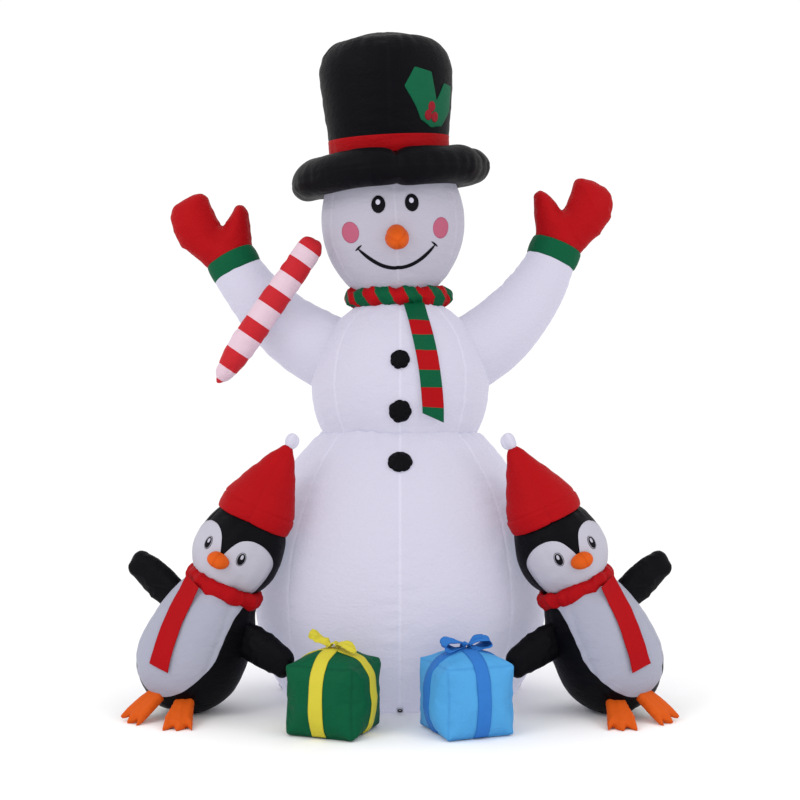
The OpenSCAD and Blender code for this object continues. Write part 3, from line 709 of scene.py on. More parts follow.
def make_cuff(side, seed):
    outline = [(0.0885, 0.0), (0.0935, 0.003), (0.095, 0.012), (0.0965, 0.034), (0.095, 0.058),
               (0.0925, 0.066), (0.088, 0.069)]
    cuff = Round(WRISTS[side], smooth_path(outline, 60, 2), 2, 90, seed, 0.001, 0.001, 0.0006,
                 (0.0004, 0.0004), 0.0008)
    return place(cuff.mesh(f"{side}_cuff_cloth", 60, 22, GREEN), "green_cloth")


MITTEN_EDGE = {
    "left": [(-690, 1505), (-752, 1556), (-800, 1598), (-827, 1650), (-838, 1706), (-826, 1748),
             (-796, 1768), (-760, 1788), (-727, 1800), (-704, 1784), (-672, 1726), (-645, 1676),
             (-618, 1716), (-590, 1754), (-566, 1756), (-550, 1736), (-538, 1680), (-536, 1621),
             (-530, 1590)],
    "right": [(650, 1556), (700, 1607), (731, 1639), (768, 1697), (782, 1753), (770, 1788), (748, 1814),
              (703, 1840), (668, 1853), (645, 1850), (615, 1788), (590, 1736), (560, 1770), (525, 1801),
              (500, 1808), (479, 1786), (479, 1720), (486, 1648), (480, 1622)],
}
MITTEN_WRIST = {
    "left": [(-0.590, 0, 1.508, 0.084), (-0.618, 0, 1.562, 0.086), (-0.655, 0, 1.612, 0.064)],
    "right": [(0.549, 0, 1.549, 0.084), (0.574, 0, 1.606, 0.086), (0.606, 0, 1.662, 0.064)],
}


def edge_distance(points, line):
    """How far flat points are from a line."""
    away = np.full(len(points), 9.0)
    for a, b in zip(line[:-1], line[1:]):
        t = np.clip((points - a) @ (b - a) / ((b - a) @ (b - a)), 0, 1)
        away = np.minimum(away, np.linalg.norm(points - a - t[:, None] * (b - a), axis=1))
    return away


def make_mitten(side, seed):
    """A palm and a thumb sewn from two halves along the outline, and blown up with air."""
    flat, faces, rim = flat_piece(MITTEN_EDGE[side], 0.010)
    away = edge_distance(flat, np.array(MITTEN_EDGE[side]) / 1000)
    high = 0.066 * np.sqrt(1 - (1 - np.minimum(away / 0.085, 1)) ** 2) + 0.0015
    work = bmesh.new()
    front = [work.verts.new((x, -h, z)) for (x, z), h in zip(flat, high)]
    back = [work.verts.new((x, h, z)) for (x, z), h in zip(flat, high)]
    for f in faces:
        work.faces.new([front[i] for i in f])
        work.faces.new([back[i] for i in f[::-1]])
    for a, b in rim:
        work.faces.new((front[b], front[a], back[a], back[b]))
    bmesh.ops.recalc_face_normals(work, faces=work.faces)
    work.from_mesh(run_of_balls([[(b[:3], b[3], 0.96, 160)] for b in MITTEN_WRIST[side]]))
    piece = remesh(f"{side}_mitten_cloth", take_mesh(work, "mitten"), 0.0055, 8)
    inflate(piece, 6.0, 0.010, 14)
    finish_cloth(piece, RED)
    p, n = coords(piece), normals(piece)
    edge = np.abs(p[:, 1])
    rim_side = np.clip(1 - np.abs(n[:, 1]) * 1.6, 0, 1)
    lift = -0.0022 * bell(edge, 0.004) * rim_side
    lift += 0.0016 * np.exp(-edge / 0.030) * np.clip(rim_side * 2, 0, 1) * waves(p * [1, 0.35, 1], 0.034,
                                                                                 seed)
    lift += 0.0014 * creases(waves(p * [1, 0.7, 1], 0.10, seed + 1)) + 0.0025 * waves(p, 0.15, seed + 2)
    wrinkle(piece, lift)
    mark_seam(piece, bell(edge, 0.003) * rim_side)
    place(piece, "red_cloth", f"{side}_mitten")


def make_arms():
    for k, side in enumerate(("left", "right")):
        make_arm(side, 31 + 10 * k)
        make_mitten(side, 51 + 10 * k)
    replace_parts(make_cuff("left", 71), "mitten_cuffs")
    make_cuff("right", 75)


# ---- snowman: head, face and hat ----

skull = Round(HEAD, egg(0.258, 0.295, 0.295, 0.275, 0.006, 0.470), 6, FACE_TURN, 81, 0.004, 0.003, 0.0022,
              (0.005, 0.003), 0.0025)


def make_face():
    place(skull.mesh("head_cloth", 44, 170, HEAD_WHITE), "white_cloth", "head")
    eyes = []
    for side in (-1, 1):
        turn, z = FACE_TURN + side * 13, 0.332
        rim = disc(skull, oval(0.0262, 0.0312), turn, (0, z), 0.0003, f"eye_rim{side}", PANEL, 5, 0.0008)
        black = disc(skull, oval(0.024, 0.029), turn, (0, z), 0.0009, f"eye_black{side}", PRINT, 6, 0.001)
        ring = disc(skull, oval(0.0078, 0.0088), turn, (-0.001, z + 0.008), 0.0017, f"glint{side}", WHITE,
                    4, 0.0007)
        eyes += [rim, black, ring]
    place(join("snowman_eyes_print", eyes), "black_cloth", "snowman_eyes")
    cheeks = [disc(skull, oval(0.036, 0.036), FACE_TURN + side * 37.7, (0, 0.244), 0.0004, f"cheek{side}",
                   PINK, 8) for side in (-1, 1)]
    place(join("snowman_cheeks_print", cheeks), "pink_cloth", "snowman_cheeks")
    u = np.linspace(-1, 1, 61)
    half = 0.0058 * np.sqrt(np.clip(1.02 - u ** 8, 0, 1))
    line = np.stack([0.132 * u, 0.114 + 0.073 * u ** 2], -1)
    slope = unit(np.gradient(line, axis=0))
    off = np.stack([-slope[:, 1], slope[:, 0]], -1) * half[:, None]
    parts = [ribbon(skull, line - off, line + off, FACE_TURN, 0.0004, "smile", PRINT, 4)]
    for side in (-1, 1):
        t = np.linspace(-1, 1, 11)[:, None]
        lean = np.array([0.028 * math.cos(rad(38)), -side * 0.028 * math.sin(rad(38))])
        tick = np.array([side * 0.131, 0.190]) + t * 0.5 * lean
        wide = 0.0040 * (1.15 - t ** 2)
        parts.append(ribbon(skull, tick - [0, 1] * wide, tick + [0, 1] * wide, FACE_TURN, 0.0006,
                            f"tick{side}", PRINT, 3))
    place(join("snowman_mouth_print", parts), "black_cloth", "snowman_mouth")


def out_of(surface, z, turn=0.0, out=0.0):
    """A frame on a round chamber's front: its Z axis looks out of the cloth."""
    s = float(surface.s_of(z))
    here = surface.at(rad(turn), s, out)
    nr, nz = np.interp(s, surface.s, surface.nr), np.interp(s, surface.s, surface.nz)
    way = surface.own[:3, :3] @ np.array([nr * math.sin(rad(turn)), -nr * math.cos(rad(turn)), nz])
    up = surface.own[:3, :3] @ np.array([0, 0, 1.0])
    side = unit(np.cross(up, way))
    frame_here = np.eye(4)
    frame_here[:3, 0], frame_here[:3, 1], frame_here[:3, 2] = side, np.cross(way, side), way
    frame_here[:3, 3] = here
    return frame_here


def pad(name, own, radius, height, gores, seed, material, pleat=0.002, power=2.0, first=10):
    """A puffed pad with a flat back, gathered round its edge."""
    a = np.linspace(0.0, math.pi / 2, 30)
    outline = np.stack([radius * np.cos(a) ** (2 / power), height * np.sin(a)], -1)
    outline = np.vstack([[radius * 0.9, -0.002], outline])
    puff = Round(own, outline, gores, first, seed, pleat, pleat, pleat * 0.4, (pleat, 0),
                 0.001 + pleat * 0.5, radius * 0.12, radius * 0.5)
    return puff.mesh(name, 22 if gores > 4 else 36, 40, material)


def make_nose():
    nose = pad("snowman_nose_cloth", out_of(skull, 0.219, FACE_TURN), 0.040, 0.094, 3, 91, ORANGE, 0.0014,
               2.4)
    place(nose, "orange_cloth", "snowman_nose")


BUTTONS = [("top", 1.171, 0.035, chest), ("middle", 0.995, 0.0395, chest), ("low", 0.826, 0.043, ball)]


def make_buttons():
    first = None
    for k, (name, z, radius, surface) in enumerate(BUTTONS):
        button = pad(f"{name}_button", out_of(surface, z, 0, 0.006), radius, 0.017, 7, 95 + k, BLACK,
                     0.0022, 2.6)
        place(button, "black_cloth")
        first = first or button
    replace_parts(first, "buttons")


BRIM_R, BRIM_HALF_W, BRIM_HALF_H, HAT_MID = 0.281, 0.072, 0.064, 0.455
PINCHES = [(4, 0.022), (-76, 0.005), (68, 0.007), (118, 0.010), (180, 0.018), (-128, 0.010)]


def make_brim():
    """A puffed ring pinched where its ends and gores are sewn."""
    rows, columns = 420, 64
    phi, theta = circle(rows)[:, None], circle(columns)[None, :]
    r0 = BRIM_R + BRIM_HALF_W * np.cos(theta)
    z = BRIM_HALF_H * np.sin(theta)
    p = polar(r0, phi, z)
    lift = 0.003 * waves(p, 0.16, 101) - 0.002 * bell(theta * 0.07, 0.006)
    lift = lift - 0.002 * bell((TURN - theta) * 0.07, 0.006)
    rim = np.exp(-np.minimum(theta, TURN - theta) * 0.07 / 0.03)
    lift += 0.0026 * rim * waves(p * [1, 1, 0.25], 0.036, 102)
    inner = np.exp(-np.abs(theta - math.pi * 0.8) / 0.7)
    lift += 0.004 * inner * waves(p * [1, 1, 0.3], 0.06, 103)
    for angle, depth in PINCHES:
        away = np.abs(turn_from(phi, angle)) * r0
        lift -= depth * np.exp(-away / 0.016) * (0.35 + 0.65 * np.clip(np.sin(theta + 0.3), 0, 1))
        lift += 0.0035 * np.exp(-away / 0.07) * waves(p * [0.5, 0.5, 1] + angle, 0.045, 104)
    r = r0 + lift * np.cos(theta)
    # the left end hangs lower and is fuller, and the back follows it a little
    droop = np.clip(-np.sin(phi) - 0.25, 0, 1) ** 1.5 * np.clip((r - 0.2) / 0.15, 0, 1)
    z = z * (1 + 0.14 * droop) + lift * np.sin(theta) - 0.052 * droop
    grid = carry(polar(r, phi, HAT_MID + z), HEAD)
    mark = bell(np.minimum(theta, TURN - theta) * 0.07, 0.004) + 0 * phi
    piece = build("hat_brim_cloth", grid.reshape(-1, 3), quads(rows, columns, True), [BLACK], None,
                  mark.reshape(-1))
    place(piece, "black_cloth", "hat_brim")


def crown_outline():
    side = [(0.207, 0.460), (0.2165, 0.560), (0.2285, 0.680), (0.2365, 0.770)]
    a = np.linspace(0, math.pi / 2, 12)
    dome = np.stack([0.146 + 0.091 * np.cos(a), 0.792 + 0.112 * np.sin(a)], -1)
    roof = [(0.100, 0.918), (0.050, 0.927), (0.0, 0.929)]
    return smooth_path(side + dome.tolist() + roof, 200, 2)


crown = Round(HEAD, crown_outline(), 4, FACE_TURN, 111, 0.003, 0.002, 0.0018, (0.002, 0.0), 0.003)
crown_lift = crown.lift
ROOF_SEAM = 0.880


def crown_with_pleats(phi, s):
    """The crown's cloth is gathered into pleats where its side meets its roof."""
    r, z = np.interp(s, crown.s, crown.r), np.interp(s, crown.s, crown.z)
    near = np.exp(-np.abs(z - ROOF_SEAM) / 0.035) * np.clip(r / 0.15, 0, 1)
    p = polar(0.22, phi, z * 0.2)
    fold = creases(waves(p, 0.075, 115), 1.6)
    return crown_lift(phi, s) + near * (0.0022 * waves(p, 0.05, 116) - 0.0016 * fold - 0.001)


crown.lift = crown_with_pleats


def make_crown():
    place(crown.mesh("hat_crown_cloth", 80, 130, BLACK), "black_cloth", "hat_crown")
    rows, columns = 14, 320
    z = np.linspace(0.508, 0.566, rows)[:, None]
    phi = circle(columns)[None, :]
    swell = 0.0022 + 0.0012 * np.sin(np.linspace(0, math.pi, rows))[:, None]
    p = polar(1, phi, z)
    top = crown.at(phi, crown.s_of(z), swell + 0.0011 * waves(p * 0.22, 0.05, 117))
    under = crown.at(phi, crown.s_of(z), -0.001)
    band = slab_mesh("hat_band_cloth", top, under, [RED], wrap=True)
    place(band, "red_cloth", "hat_band")


HOLLY = [(109, 89), (55, 94), (16, 34), (-11, 127), (-78, 142), (-111, 80), (-69, 11), (-51, -29),
         (-5, -55), (51, -49), (102, 3)]
HOLLY_TURN, HOLLY_Z = FACE_TURN + 41.6, 0.640


def flat_piece(outline, step=0.006):
    """A flat drawing as a fine triangle mesh: its points, triangles and loop of edge points."""
    work = bmesh.new()
    count = int(length_of(np.array(outline) / 1000) / step) + 8
    ring = even(np.array(outline + outline[:1], float) / 1000, count)[:-1]
    work.faces.new([work.verts.new((x, z, 0)) for x, z in ring])
    bmesh.ops.triangulate(work, faces=work.faces)
    for _ in range(4):
        long_edges = [e for e in work.edges if e.calc_length() > step * 1.6]
        if not long_edges:
            break
        bmesh.ops.subdivide_edges(work, edges=long_edges, cuts=1)
        bmesh.ops.triangulate(work, faces=work.faces)
    for k, vert in enumerate(work.verts):
        vert.index = k
    points = np.array([v.co[:2] for v in work.verts])
    faces = [[v.index for v in f.verts] for f in work.faces]
    rim = [(e.verts[0].index, e.verts[1].index) for e in work.edges if len(e.link_faces) == 1]
    ordered = []
    for a, b in rim:
        around = next(f for f in faces if a in f and b in f)
        ordered.append((a, b) if around[(around.index(a) + 1) % len(around)] == b else (b, a))
    work.free()
    return points, faces, ordered


def print_on(surface, outline, turn, height, out, name, material, thick=0.0012):
    """A cut-out shape laid on a round chamber."""
    flat, faces, rim = flat_piece(outline)
    top = surface.front(flat[:, 0], height + flat[:, 1], turn, out + thick)
    under = surface.front(flat[:, 0], height + flat[:, 1], turn, out)
    shift = len(flat)
    sides = [[b, a, a + shift, b + shift] for a, b in rim]
    return build(name, np.vstack([top, under]), faces + [[i + shift for i in f[::-1]] for f in faces]
                 + sides, [material])


def make_holly():
    leaves = print_on(crown, HOLLY, HOLLY_TURN, HOLLY_Z, 0.0004, "holly_leaves_print", LEAF)
    place(leaves, "leaf_cloth", "holly_leaves")
    spots = [(-0.006, 0.654), (-0.020, 0.626), (0.010, 0.620)]
    berries = [disc(crown, oval(0.0155, 0.0175, 28), HOLLY_TURN, spot, 0.0016 + 0.0003 * k, f"berry{k}",
                    BERRY, 4, 0.0008) for k, spot in enumerate(spots)]
    place(join("holly_berries_print", berries), "berry_cloth", "holly_berries")


# ---- scarves ----


def scarf_ring(name, own, big, small, rows, seed, materials, stripe=None, twist=0.0, puckers=0.004,
               pinch=(), tall=1.0):
    """A puffed ring of cloth, gathered across, with stripes that lean with its twist."""
    columns = 36
    phi, theta = circle(rows)[:, None], circle(columns)[None, :]
    r0 = big + small * np.cos(theta)
    p = polar(r0, phi, small * np.sin(theta))
    lift = puckers * waves(polar(big, phi, p[..., 2] * 0.5), 0.045, seed)
    lift += puckers * 0.8 * creases(waves(p * [1, 1, 0.6], 0.05, seed + 1)) - puckers * 0.4
    for angle, depth in pinch:
        lift -= depth * np.exp(-np.abs(turn_from(phi, angle)) * big / 0.012)
    grid = carry(polar(r0 + lift * np.cos(theta), phi, (small * tall + lift) * np.sin(theta)), own)
    which = None
    if stripe:
        along = (phi * big / stripe + twist * np.sin(theta)).reshape(rows, columns)
        which = (np.floor(along + 0.5).astype(int) % 2).reshape(-1)
    return build(name, grid.reshape(-1, 3), quads(rows, columns, True), materials, which)


def strip_rows(left, right, rows, columns, fold, seed):
    """Cloth between two edge lines, with soft folds along it."""
    at = np.linspace(0, len(left) - 1, rows)
    left, right = (np.stack([np.interp(at, np.arange(len(e)), e[:, k]) for k in range(3)], -1)
                   for e in (left, right))
    u = np.linspace(0, 1, columns)[None, :, None]
    grid = left[:, None] * (1 - u) + right[:, None] * u
    normal = unit(np.cross(np.gradient(grid, axis=0), np.gradient(grid, axis=1)))
    s = np.linspace(0, 1, rows)[:, None]
    flat = np.stack([s * 0.4 + 0 * u[..., 0], u[..., 0] * 0.075 + 0 * s], -1)
    lift = fold * waves(flat * [0.55, 1], 0.055, seed) * np.clip(s * 6, 0.25, 1)
    return grid + normal * lift[..., None], normal


def strip_of(name, grid, normal, materials, which=None):
    """The cloth of a strip, 1.4 mm thick."""
    return slab_mesh(name, grid - normal * 0.0007, grid + normal * 0.0007, materials, which)


TAIL_TOP, TAIL_FOOT, TAIL_W = (0.046, 1.388), (0.112, 0.972), 0.073
TAIL_STRIPES = [0.186, 0.307, 0.447, 0.600, 0.749, 0.912]


def make_neck_scarf():
    pinch = ((22, 0.010), (-3, 0.005), (100, 0.01), (-120, 0.01))
    ring = scarf_ring("neck_scarf_cloth", moved(-0.006, -0.006, 1.413) @ turned(4), 0.153, 0.0425, 330,
                      121, [RED, GREEN], TURN * 0.153 / 22, 0.30, 0.0048, pinch, 0.9)
    place(ring, "scarf_cloth", "neck_scarf")
    rows = 11
    i = np.arange(rows) / (rows - 1)
    z = TAIL_TOP[1] + (TAIL_FOOT[1] - TAIL_TOP[1]) * i
    x = TAIL_TOP[0] + (TAIL_FOOT[0] - TAIL_TOP[0]) * np.sin(i * math.pi / 2)
    chest_r = np.interp(np.minimum(z, NECK - 0.004), chest.z, chest.r)
    # its top is tucked under the ring
    near = np.maximum(chest_r, 0.165) + np.interp(z, [1.30, 1.375], [0.0105, 0.003])
    reach = np.where(z > 1.1, near, 0.3355)
    edges = []
    for side in (-1, 1):
        ex = x + side * TAIL_W / 2
        drop = np.where(i == 1, side * 0.016, 0)
        edges.append(np.stack([ex, -np.sqrt(reach ** 2 - ex ** 2), z - drop], -1))
    grid, normal = strip_rows(edges[0], edges[1], 106, 15, 0.0022, 125)
    which = np.repeat(1 - np.searchsorted(TAIL_STRIPES, np.arange(105) / 105) % 2, 14)
    tail = strip_of("scarf_tail_cloth", grid, normal, [RED, GREEN], which)
    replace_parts(tail, "scarf_tail")
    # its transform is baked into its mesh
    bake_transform(tail)


# ---- cane ----

CANE = moved(-0.640, -0.168, 1.095) @ turned(0, 34.4)
CANE_LEN = 0.607
CANE_BANDS = [0.012, 0.063, 0.131, 0.198, 0.255, 0.324, 0.385, 0.452, 0.513, 0.565]


def make_cane():
    tip = [(0.0, 0.0), (0.010, 0.002), (0.0295, 0.034), (0.0375, 0.068), (0.0430, 0.102), (0.0465, 0.136)]
    shaft = [(0.0485, 0.200), (0.0492, 0.320), (0.0480, 0.450), (0.0462, 0.550)]
    a = np.linspace(0.15, math.pi / 2, 10)
    cap = np.stack([0.0462 * np.cos(a) ** 0.55, 0.560 + 0.047 * np.sin(a)], -1).tolist()
    cane = Round(CANE, smooth_path(tip + shaft + cap, 160, 1), 2, 90, 131, 0.001, 0.0012, 0.0016,
                 (0.001, 0.003), 0.002)
    plain = cane.lift

    def puckered(phi, s):
        z = np.interp(s, cane.s, cane.z)
        near = sum(np.exp(-np.abs(z - band) / 0.006) for band in CANE_BANDS)
        p = np.stack([np.sin(phi) * 0.045, np.cos(phi) * 0.045, z], -1)
        top = np.exp(-np.abs(z - CANE_LEN) / 0.030)
        return (plain(phi, s) - 0.0014 * near + 0.0018 * near * waves(p, 0.022, 134)
                + 0.001 * waves(p, 0.03, 135) + 0.0022 * top * waves(p * [1, 1, 0.3], 0.026, 136))

    cane.lift = puckered
    columns, rows = 96, 220
    phi, s = np.meshgrid(circle(columns), np.linspace(0, 1, rows))
    z = np.interp(s, cane.s, cane.z)
    band = np.searchsorted(CANE_BANDS, z[:-1].reshape(-1))
    piece = tube_mesh("candy_cane_cloth", cane.at(phi, s), [CANE_RED, CANE_WHITE], band % 2)
    place(piece, "cane_cloth", "candy_cane")


# ---- penguins ----

PENGUIN = moved(-0.788, -0.390, 0) @ turned(0, 25.5) @ turned(0, 0, -20)
SIDES = ("left", "right")
FACE_OFF, BELLY_OFF = 7.5, -8
BODY_SHIFT = moved(0.009, 0.003, 0)
PENGUIN_NECK = 0.455


class Penguin:
    """One penguin's chambers; side 1 is the mirror image of side 0."""

    def __init__(self, side):
        self.side, self.name = side, SIDES[side] + "_penguin"
        self.own = mirrored(side) @ PENGUIN
        seed = 200 + 40 * side
        self.seed = seed
        self.body = Round(self.own @ BODY_SHIFT, egg(0.177, 0.178, 0.340, 0.197, 0.0193, PENGUIN_NECK), 4,
                          45, seed, 0.002, 0.003, 0.0024, (0.004, 0.003), 0.003, reach=0.05)
        self.head = Round(self.own, egg(0.147, 0.147, 0.200, 0.580, 0.462, 0.702), 4, 45, seed + 5, 0.002,
                          0.002, 0.0018, (0.003, 0.003), 0.002, reach=0.05)

    def bodies(self):
        place(self.body.mesh(f"{self.name}_body_cloth", 60, 150, BLACK), "black_cloth",
              f"{self.name}_body")
        place(self.head.mesh(f"{self.name}_head_cloth", 52, 90, BLACK), "black_cloth", f"{self.name}_head")

    def panels(self):
        z = np.concatenate([0.262 - 0.190 * np.cos(np.linspace(0, math.pi / 2, 40)),
                            np.linspace(0.27, 0.446, 22)])
        wide = np.concatenate([0.148 * np.sin(np.linspace(0.02, math.pi / 2, 40)),
                               0.148 - 0.030 * np.linspace(0.05, 1, 22) ** 1.3])
        left, right = np.stack([-wide, z], -1), np.stack([wide, z], -1)
        u = (1 - np.cos(np.linspace(0, math.pi, 41)))[None, :] / 2
        x = left[:, 0:1] * (1 - u) + right[:, 0:1] * u
        zz = np.broadcast_to(z[:, None], x.shape)
        top, under = (self.body.front(x, zz, BELLY_OFF, out) for out in (0.0016, 0.0004))
        # the belly takes the darker painted-shade copy of the panel cloth
        belly = slab_mesh(f"{self.name}_belly", top, under, [BELLY_SHADED])
        face = disc(self.head, face_outline(), FACE_OFF, (0, FACE_MID), 0.0004, f"{self.name}_face",
                    PANEL, 16)
        place(join(f"{self.name}_panels_print", [belly, face]), "white_cloth", f"{self.name}_panels")

    def eyes(self):
        made = []
        for side in (-1, 1):
            turn = FACE_OFF + side * 24.6
            layers = [(0.0150, 0.0225, 0.0, PRINT), (0.0134, 0.0208, 0.0, PANEL),
                      (0.0118, 0.0190, 0.0, PRINT), (0.0045, 0.0078, 0.0070, PANEL)]
            for k, (a, b, up, material) in enumerate(layers):
                made.append(disc(self.head, oval(a, b, 36), turn, (0, 0.588 + up), 0.0017 + 0.0005 * k,
                                 f"e{self.side}{side}{k}", material, 4, 0.0006))
        return made

    def beak(self):
        own = np.array(out_of(self.head, 0.556, FACE_OFF, 0.002))
        own[:3, :3] = own[:3, :3] @ np.diag([1.0, 0.72, 1.0])
        beak = pad(f"{self.name}_beak_cloth", own, 0.037, 0.043, 2, self.seed + 9, ORANGE, 0.0010, 2.5, 0)
        return place(beak, "orange_cloth")

    def hat(self):
        band = [(0.1230, 0.6985), (0.1265, 0.702), (0.1285, 0.715), (0.1288, 0.735), (0.1275, 0.749),
                (0.1215, 0.7525), (0.1245, 0.757)]
        cone = [(0.1215, 0.768), (0.1010, 0.812), (0.0755, 0.866), (0.0500, 0.914), (0.0235, 0.960),
                (0.013, 0.971), (0.0, 0.974)]
        hat = Round(self.own, smooth_path(band + cone, 240, 1), 4, 20, self.seed + 12, 0.003, 0.0018,
                    0.002, (0.001, 0.002), 0.0035, reach=0.05)
        place(hat.mesh(f"{self.name}_hat_cloth", 40, 150, RED), "red_cloth", f"{self.name}_hat")

    def pompom(self):
        own = self.own @ moved(0.004, 0, 0.990)
        a = np.linspace(-math.pi / 2, math.pi / 2, 50)
        outline = np.stack([0.0245 * np.cos(a), 0.0285 * np.sin(a)], -1)
        puff = Round(own, outline, 5, 0, self.seed + 15, 0.0015, 0.0015, 0.002, (0.002, 0.003), 0.002,
                     0.003, 0.02)
        piece = place(puff.mesh(f"{self.name}_pompom_cloth", 16, 60, WHITE), "white_cloth")
        return piece

    def scarf(self):
        own = self.own @ BODY_SHIFT @ moved(0, 0, 0.461)
        ring = scarf_ring(f"{self.name}_scarf_cloth", own, 0.113, 0.024, 260, self.seed + 18, [RED], None,
                          0, 0.0036, ((-30, 0.003), (60, 0.004), (160, 0.004)), 1.25)
        place(ring, "red_cloth", f"{self.name}_scarf")
        line = [(-0.052, 0.452), (-0.046, 0.400), (-0.038, 0.340), (-0.026, 0.280), (-0.014, 0.220),
                (-0.003, 0.168)]
        edges = []
        for s in (-1, 1):
            points = []
            for cx, z in line:
                x = cx + s * 0.037
                body_r = float(np.interp(z, self.body.z, self.body.r))
                reach = 0.142 if z > 0.43 else max(body_r, 0.142) + 0.009
                points.append((x + 0.009, -math.sqrt(reach ** 2 - x ** 2),
                               z - s * (0.006 - 0.008 * (z < 0.2))))
            edges.append(np.array(points))
        grid, normal = strip_rows(edges[0], edges[1], 90, 13, 0.0018, self.seed + 20)
        grid, normal = carry(grid, self.own), normal @ np.array(self.own)[:3, :3].T
        tail = strip_of(f"{self.name}_tail_cloth", grid, normal, [RED])
        place(tail, "red_cloth", f"{self.name}_scarf_tail", body=f"{SIDES[self.side]}_tail")


FACE_MID = 0.552


def face_outline(count=180):
    """Two ovals above a band, as the distance from the face's middle in each direction."""
    t = circle(count)
    reach = np.linspace(0, 0.18, 361)[:, None]
    x, z = reach * np.cos(t), FACE_MID + reach * np.sin(t)
    lobes = ((np.abs(x) - 0.078) / 0.062) ** 2 + ((z - 0.592) / 0.062) ** 2 < 1
    wide = 0.140 * np.sqrt(np.clip(1 - ((0.592 - z) / 0.17) ** 2, 0, 1))
    band = (np.abs(x) < wide) & (z > 0.482) & (z < np.where(np.abs(x) > 0.07, 0.592, 0.578))
    inside = lobes | band
    far = np.where(inside, reach, 0).max(0)
    for _ in range(2):
        far = (np.roll(far, 1) + 2 * far + np.roll(far, -1)) / 4
    return np.stack([far * np.cos(t), far * np.sin(t)], -1)


def mirror_copy(piece, name):
    """The same cloth on the other side."""
    twin = piece.copy()
    twin.data = piece.data.copy()
    twin.name = name
    scene.collection.objects.link(twin)
    set_coords(twin, coords(piece) * [-1, 1, 1])
    twin.data.flip_normals()
    return twin


FLIPPER_HALF = [0.018, 0.028, 0.026, 0.016]
FLIPPER_BALLS = {1: [(0.130, 0.352), (0.190, 0.349), (0.260, 0.343), (0.318, 0.337)],
                 -1: [(0.130, 0.352), (0.190, 0.364), (0.260, 0.379), (0.316, 0.389)]}


def flipper(direction, seed):
    """A flat puffed flipper of the left penguin, out to the side given as -1 or 1."""
    groups = [[((direction * x, 0, z + s * half), 0.030, 1.0, 120) for s in (-1, 1)]
              for (x, z), half in zip(FLIPPER_BALLS[direction], FLIPPER_HALF)]
    piece = remesh("flipper", run_of_balls(groups), 0.0045, 10)
    inflate(piece, 4.0, 0.006, 12)
    finish_cloth(piece, BLACK)
    p, n = coords(piece), normals(piece)
    edge = np.abs(p[:, 1])
    rim = np.clip(1 - np.abs(n[:, 1]) * 1.5, 0, 1)
    lift = -0.002 * bell(edge, 0.003) * rim
    lift += 0.003 * np.exp(-edge / 0.022) * rim * waves(p * [1, 0.35, 1], 0.024, seed)
    lift += 0.002 * creases(waves(p * [1, 0.7, 1], 0.07,
                                  seed + 1)) * 0.5 + 0.0025 * waves(p, 0.09, seed + 2)
    root = np.exp(-(np.abs(p[:, 0]) - 0.15) / 0.03)
    lift += 0.003 * np.clip(root, 0, 1) * waves(p * [0.3, 1, 1], 0.025, seed + 3)
    wrinkle(piece, lift)
    mark_seam(piece, bell(edge, 0.0028) * rim)
    piece.data.transform(PENGUIN)
    return piece


FOOT = [(-30, 75), (30, 75), (38, 10), (46, -62), (52, -118), (30, -98), (4, -128), (-14, -100),
        (-46, -122), (-48, -60), (-38, 10)]
FEET = [(-0.692, -0.542, 0.048, 0, 22, 0), (-0.786, -0.500, 0.078, -54, 38, 12)]


def foot(place_at, seed):
    """A three-toed foot of the left penguin, sewn flat and puffed."""
    x, y, z, turn, pitch, roll = place_at
    work = bmesh.new()
    low, high = ([work.verts.new((px / 1000, py / 1000, level)) for px, py in FOOT]
                 for level in (-0.006, 0.006))
    work.faces.new(low[::-1])
    work.faces.new(high)
    for i in range(len(FOOT)):
        j = (i + 1) % len(FOOT)
        work.faces.new((low[i], low[j], high[j], high[i]))
    piece = remesh("foot", take_mesh(work, "foot"), 0.003, 4)
    inflate(piece, 3.0, 0.006, 14)
    finish_cloth(piece, ORANGE)
    p, n = coords(piece), normals(piece)
    away = edge_distance(p[:, :2], np.array(FOOT + FOOT[:1]) / 1000)
    swell = 0.005 * (1 - np.exp(-away / 0.010)) * np.sign(p[:, 2]) * np.abs(n[:, 2])
    p[:, 2] += swell + 0.0018 * waves(p * [1, 0.45, 1], 0.026, seed) * np.abs(n[:, 2])
    set_coords(piece, p)
    piece.data.transform(moved(x, y, z) @ turned(0, 0, turn) @ turned(pitch) @ turned(0, roll))
    stand(piece, 0.0005)
    return piece


def make_penguins():
    limbs = [join("left_penguin_flippers_cloth", [flipper(-1, 301), flipper(1, 311)]),
             join("left_penguin_feet_cloth", [foot(FEET[0], 321), foot(FEET[1], 325)])]
    eyes, beaks, pompoms = [], [], []
    for side in (0, 1):
        penguin = Penguin(side)
        penguin.bodies()
        penguin.panels()
        penguin.hat()
        penguin.scarf()
        eyes += penguin.eyes()
        beaks.append(penguin.beak())
        pompoms.append(penguin.pompom())
    place(join("penguin_eyes_print", eyes), "black_cloth", "penguin_eyes")
    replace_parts(beaks[0], "penguin_beaks")
    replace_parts(pompoms[0], "penguin_pompoms")
    flippers, feet = limbs
    place(mirror_copy(flippers, "right_penguin_flippers_cloth"), "black_cloth", "right_penguin_flippers")
    place(flippers, "black_cloth", "left_penguin_flippers")
    place(mirror_copy(feet, "right_penguin_feet_cloth"), "orange_cloth")
    place(feet, "orange_cloth", "penguin_feet")


# ---- gifts ----

GIFT_W, GIFT_H, RIBBON_W = 0.222, 0.216, 0.044
COLORS = ("green", "blue")


def gift_frame(side):
    return mirrored(side) @ moved(-0.205, -0.651, 0) @ turned(0, 0, -21)


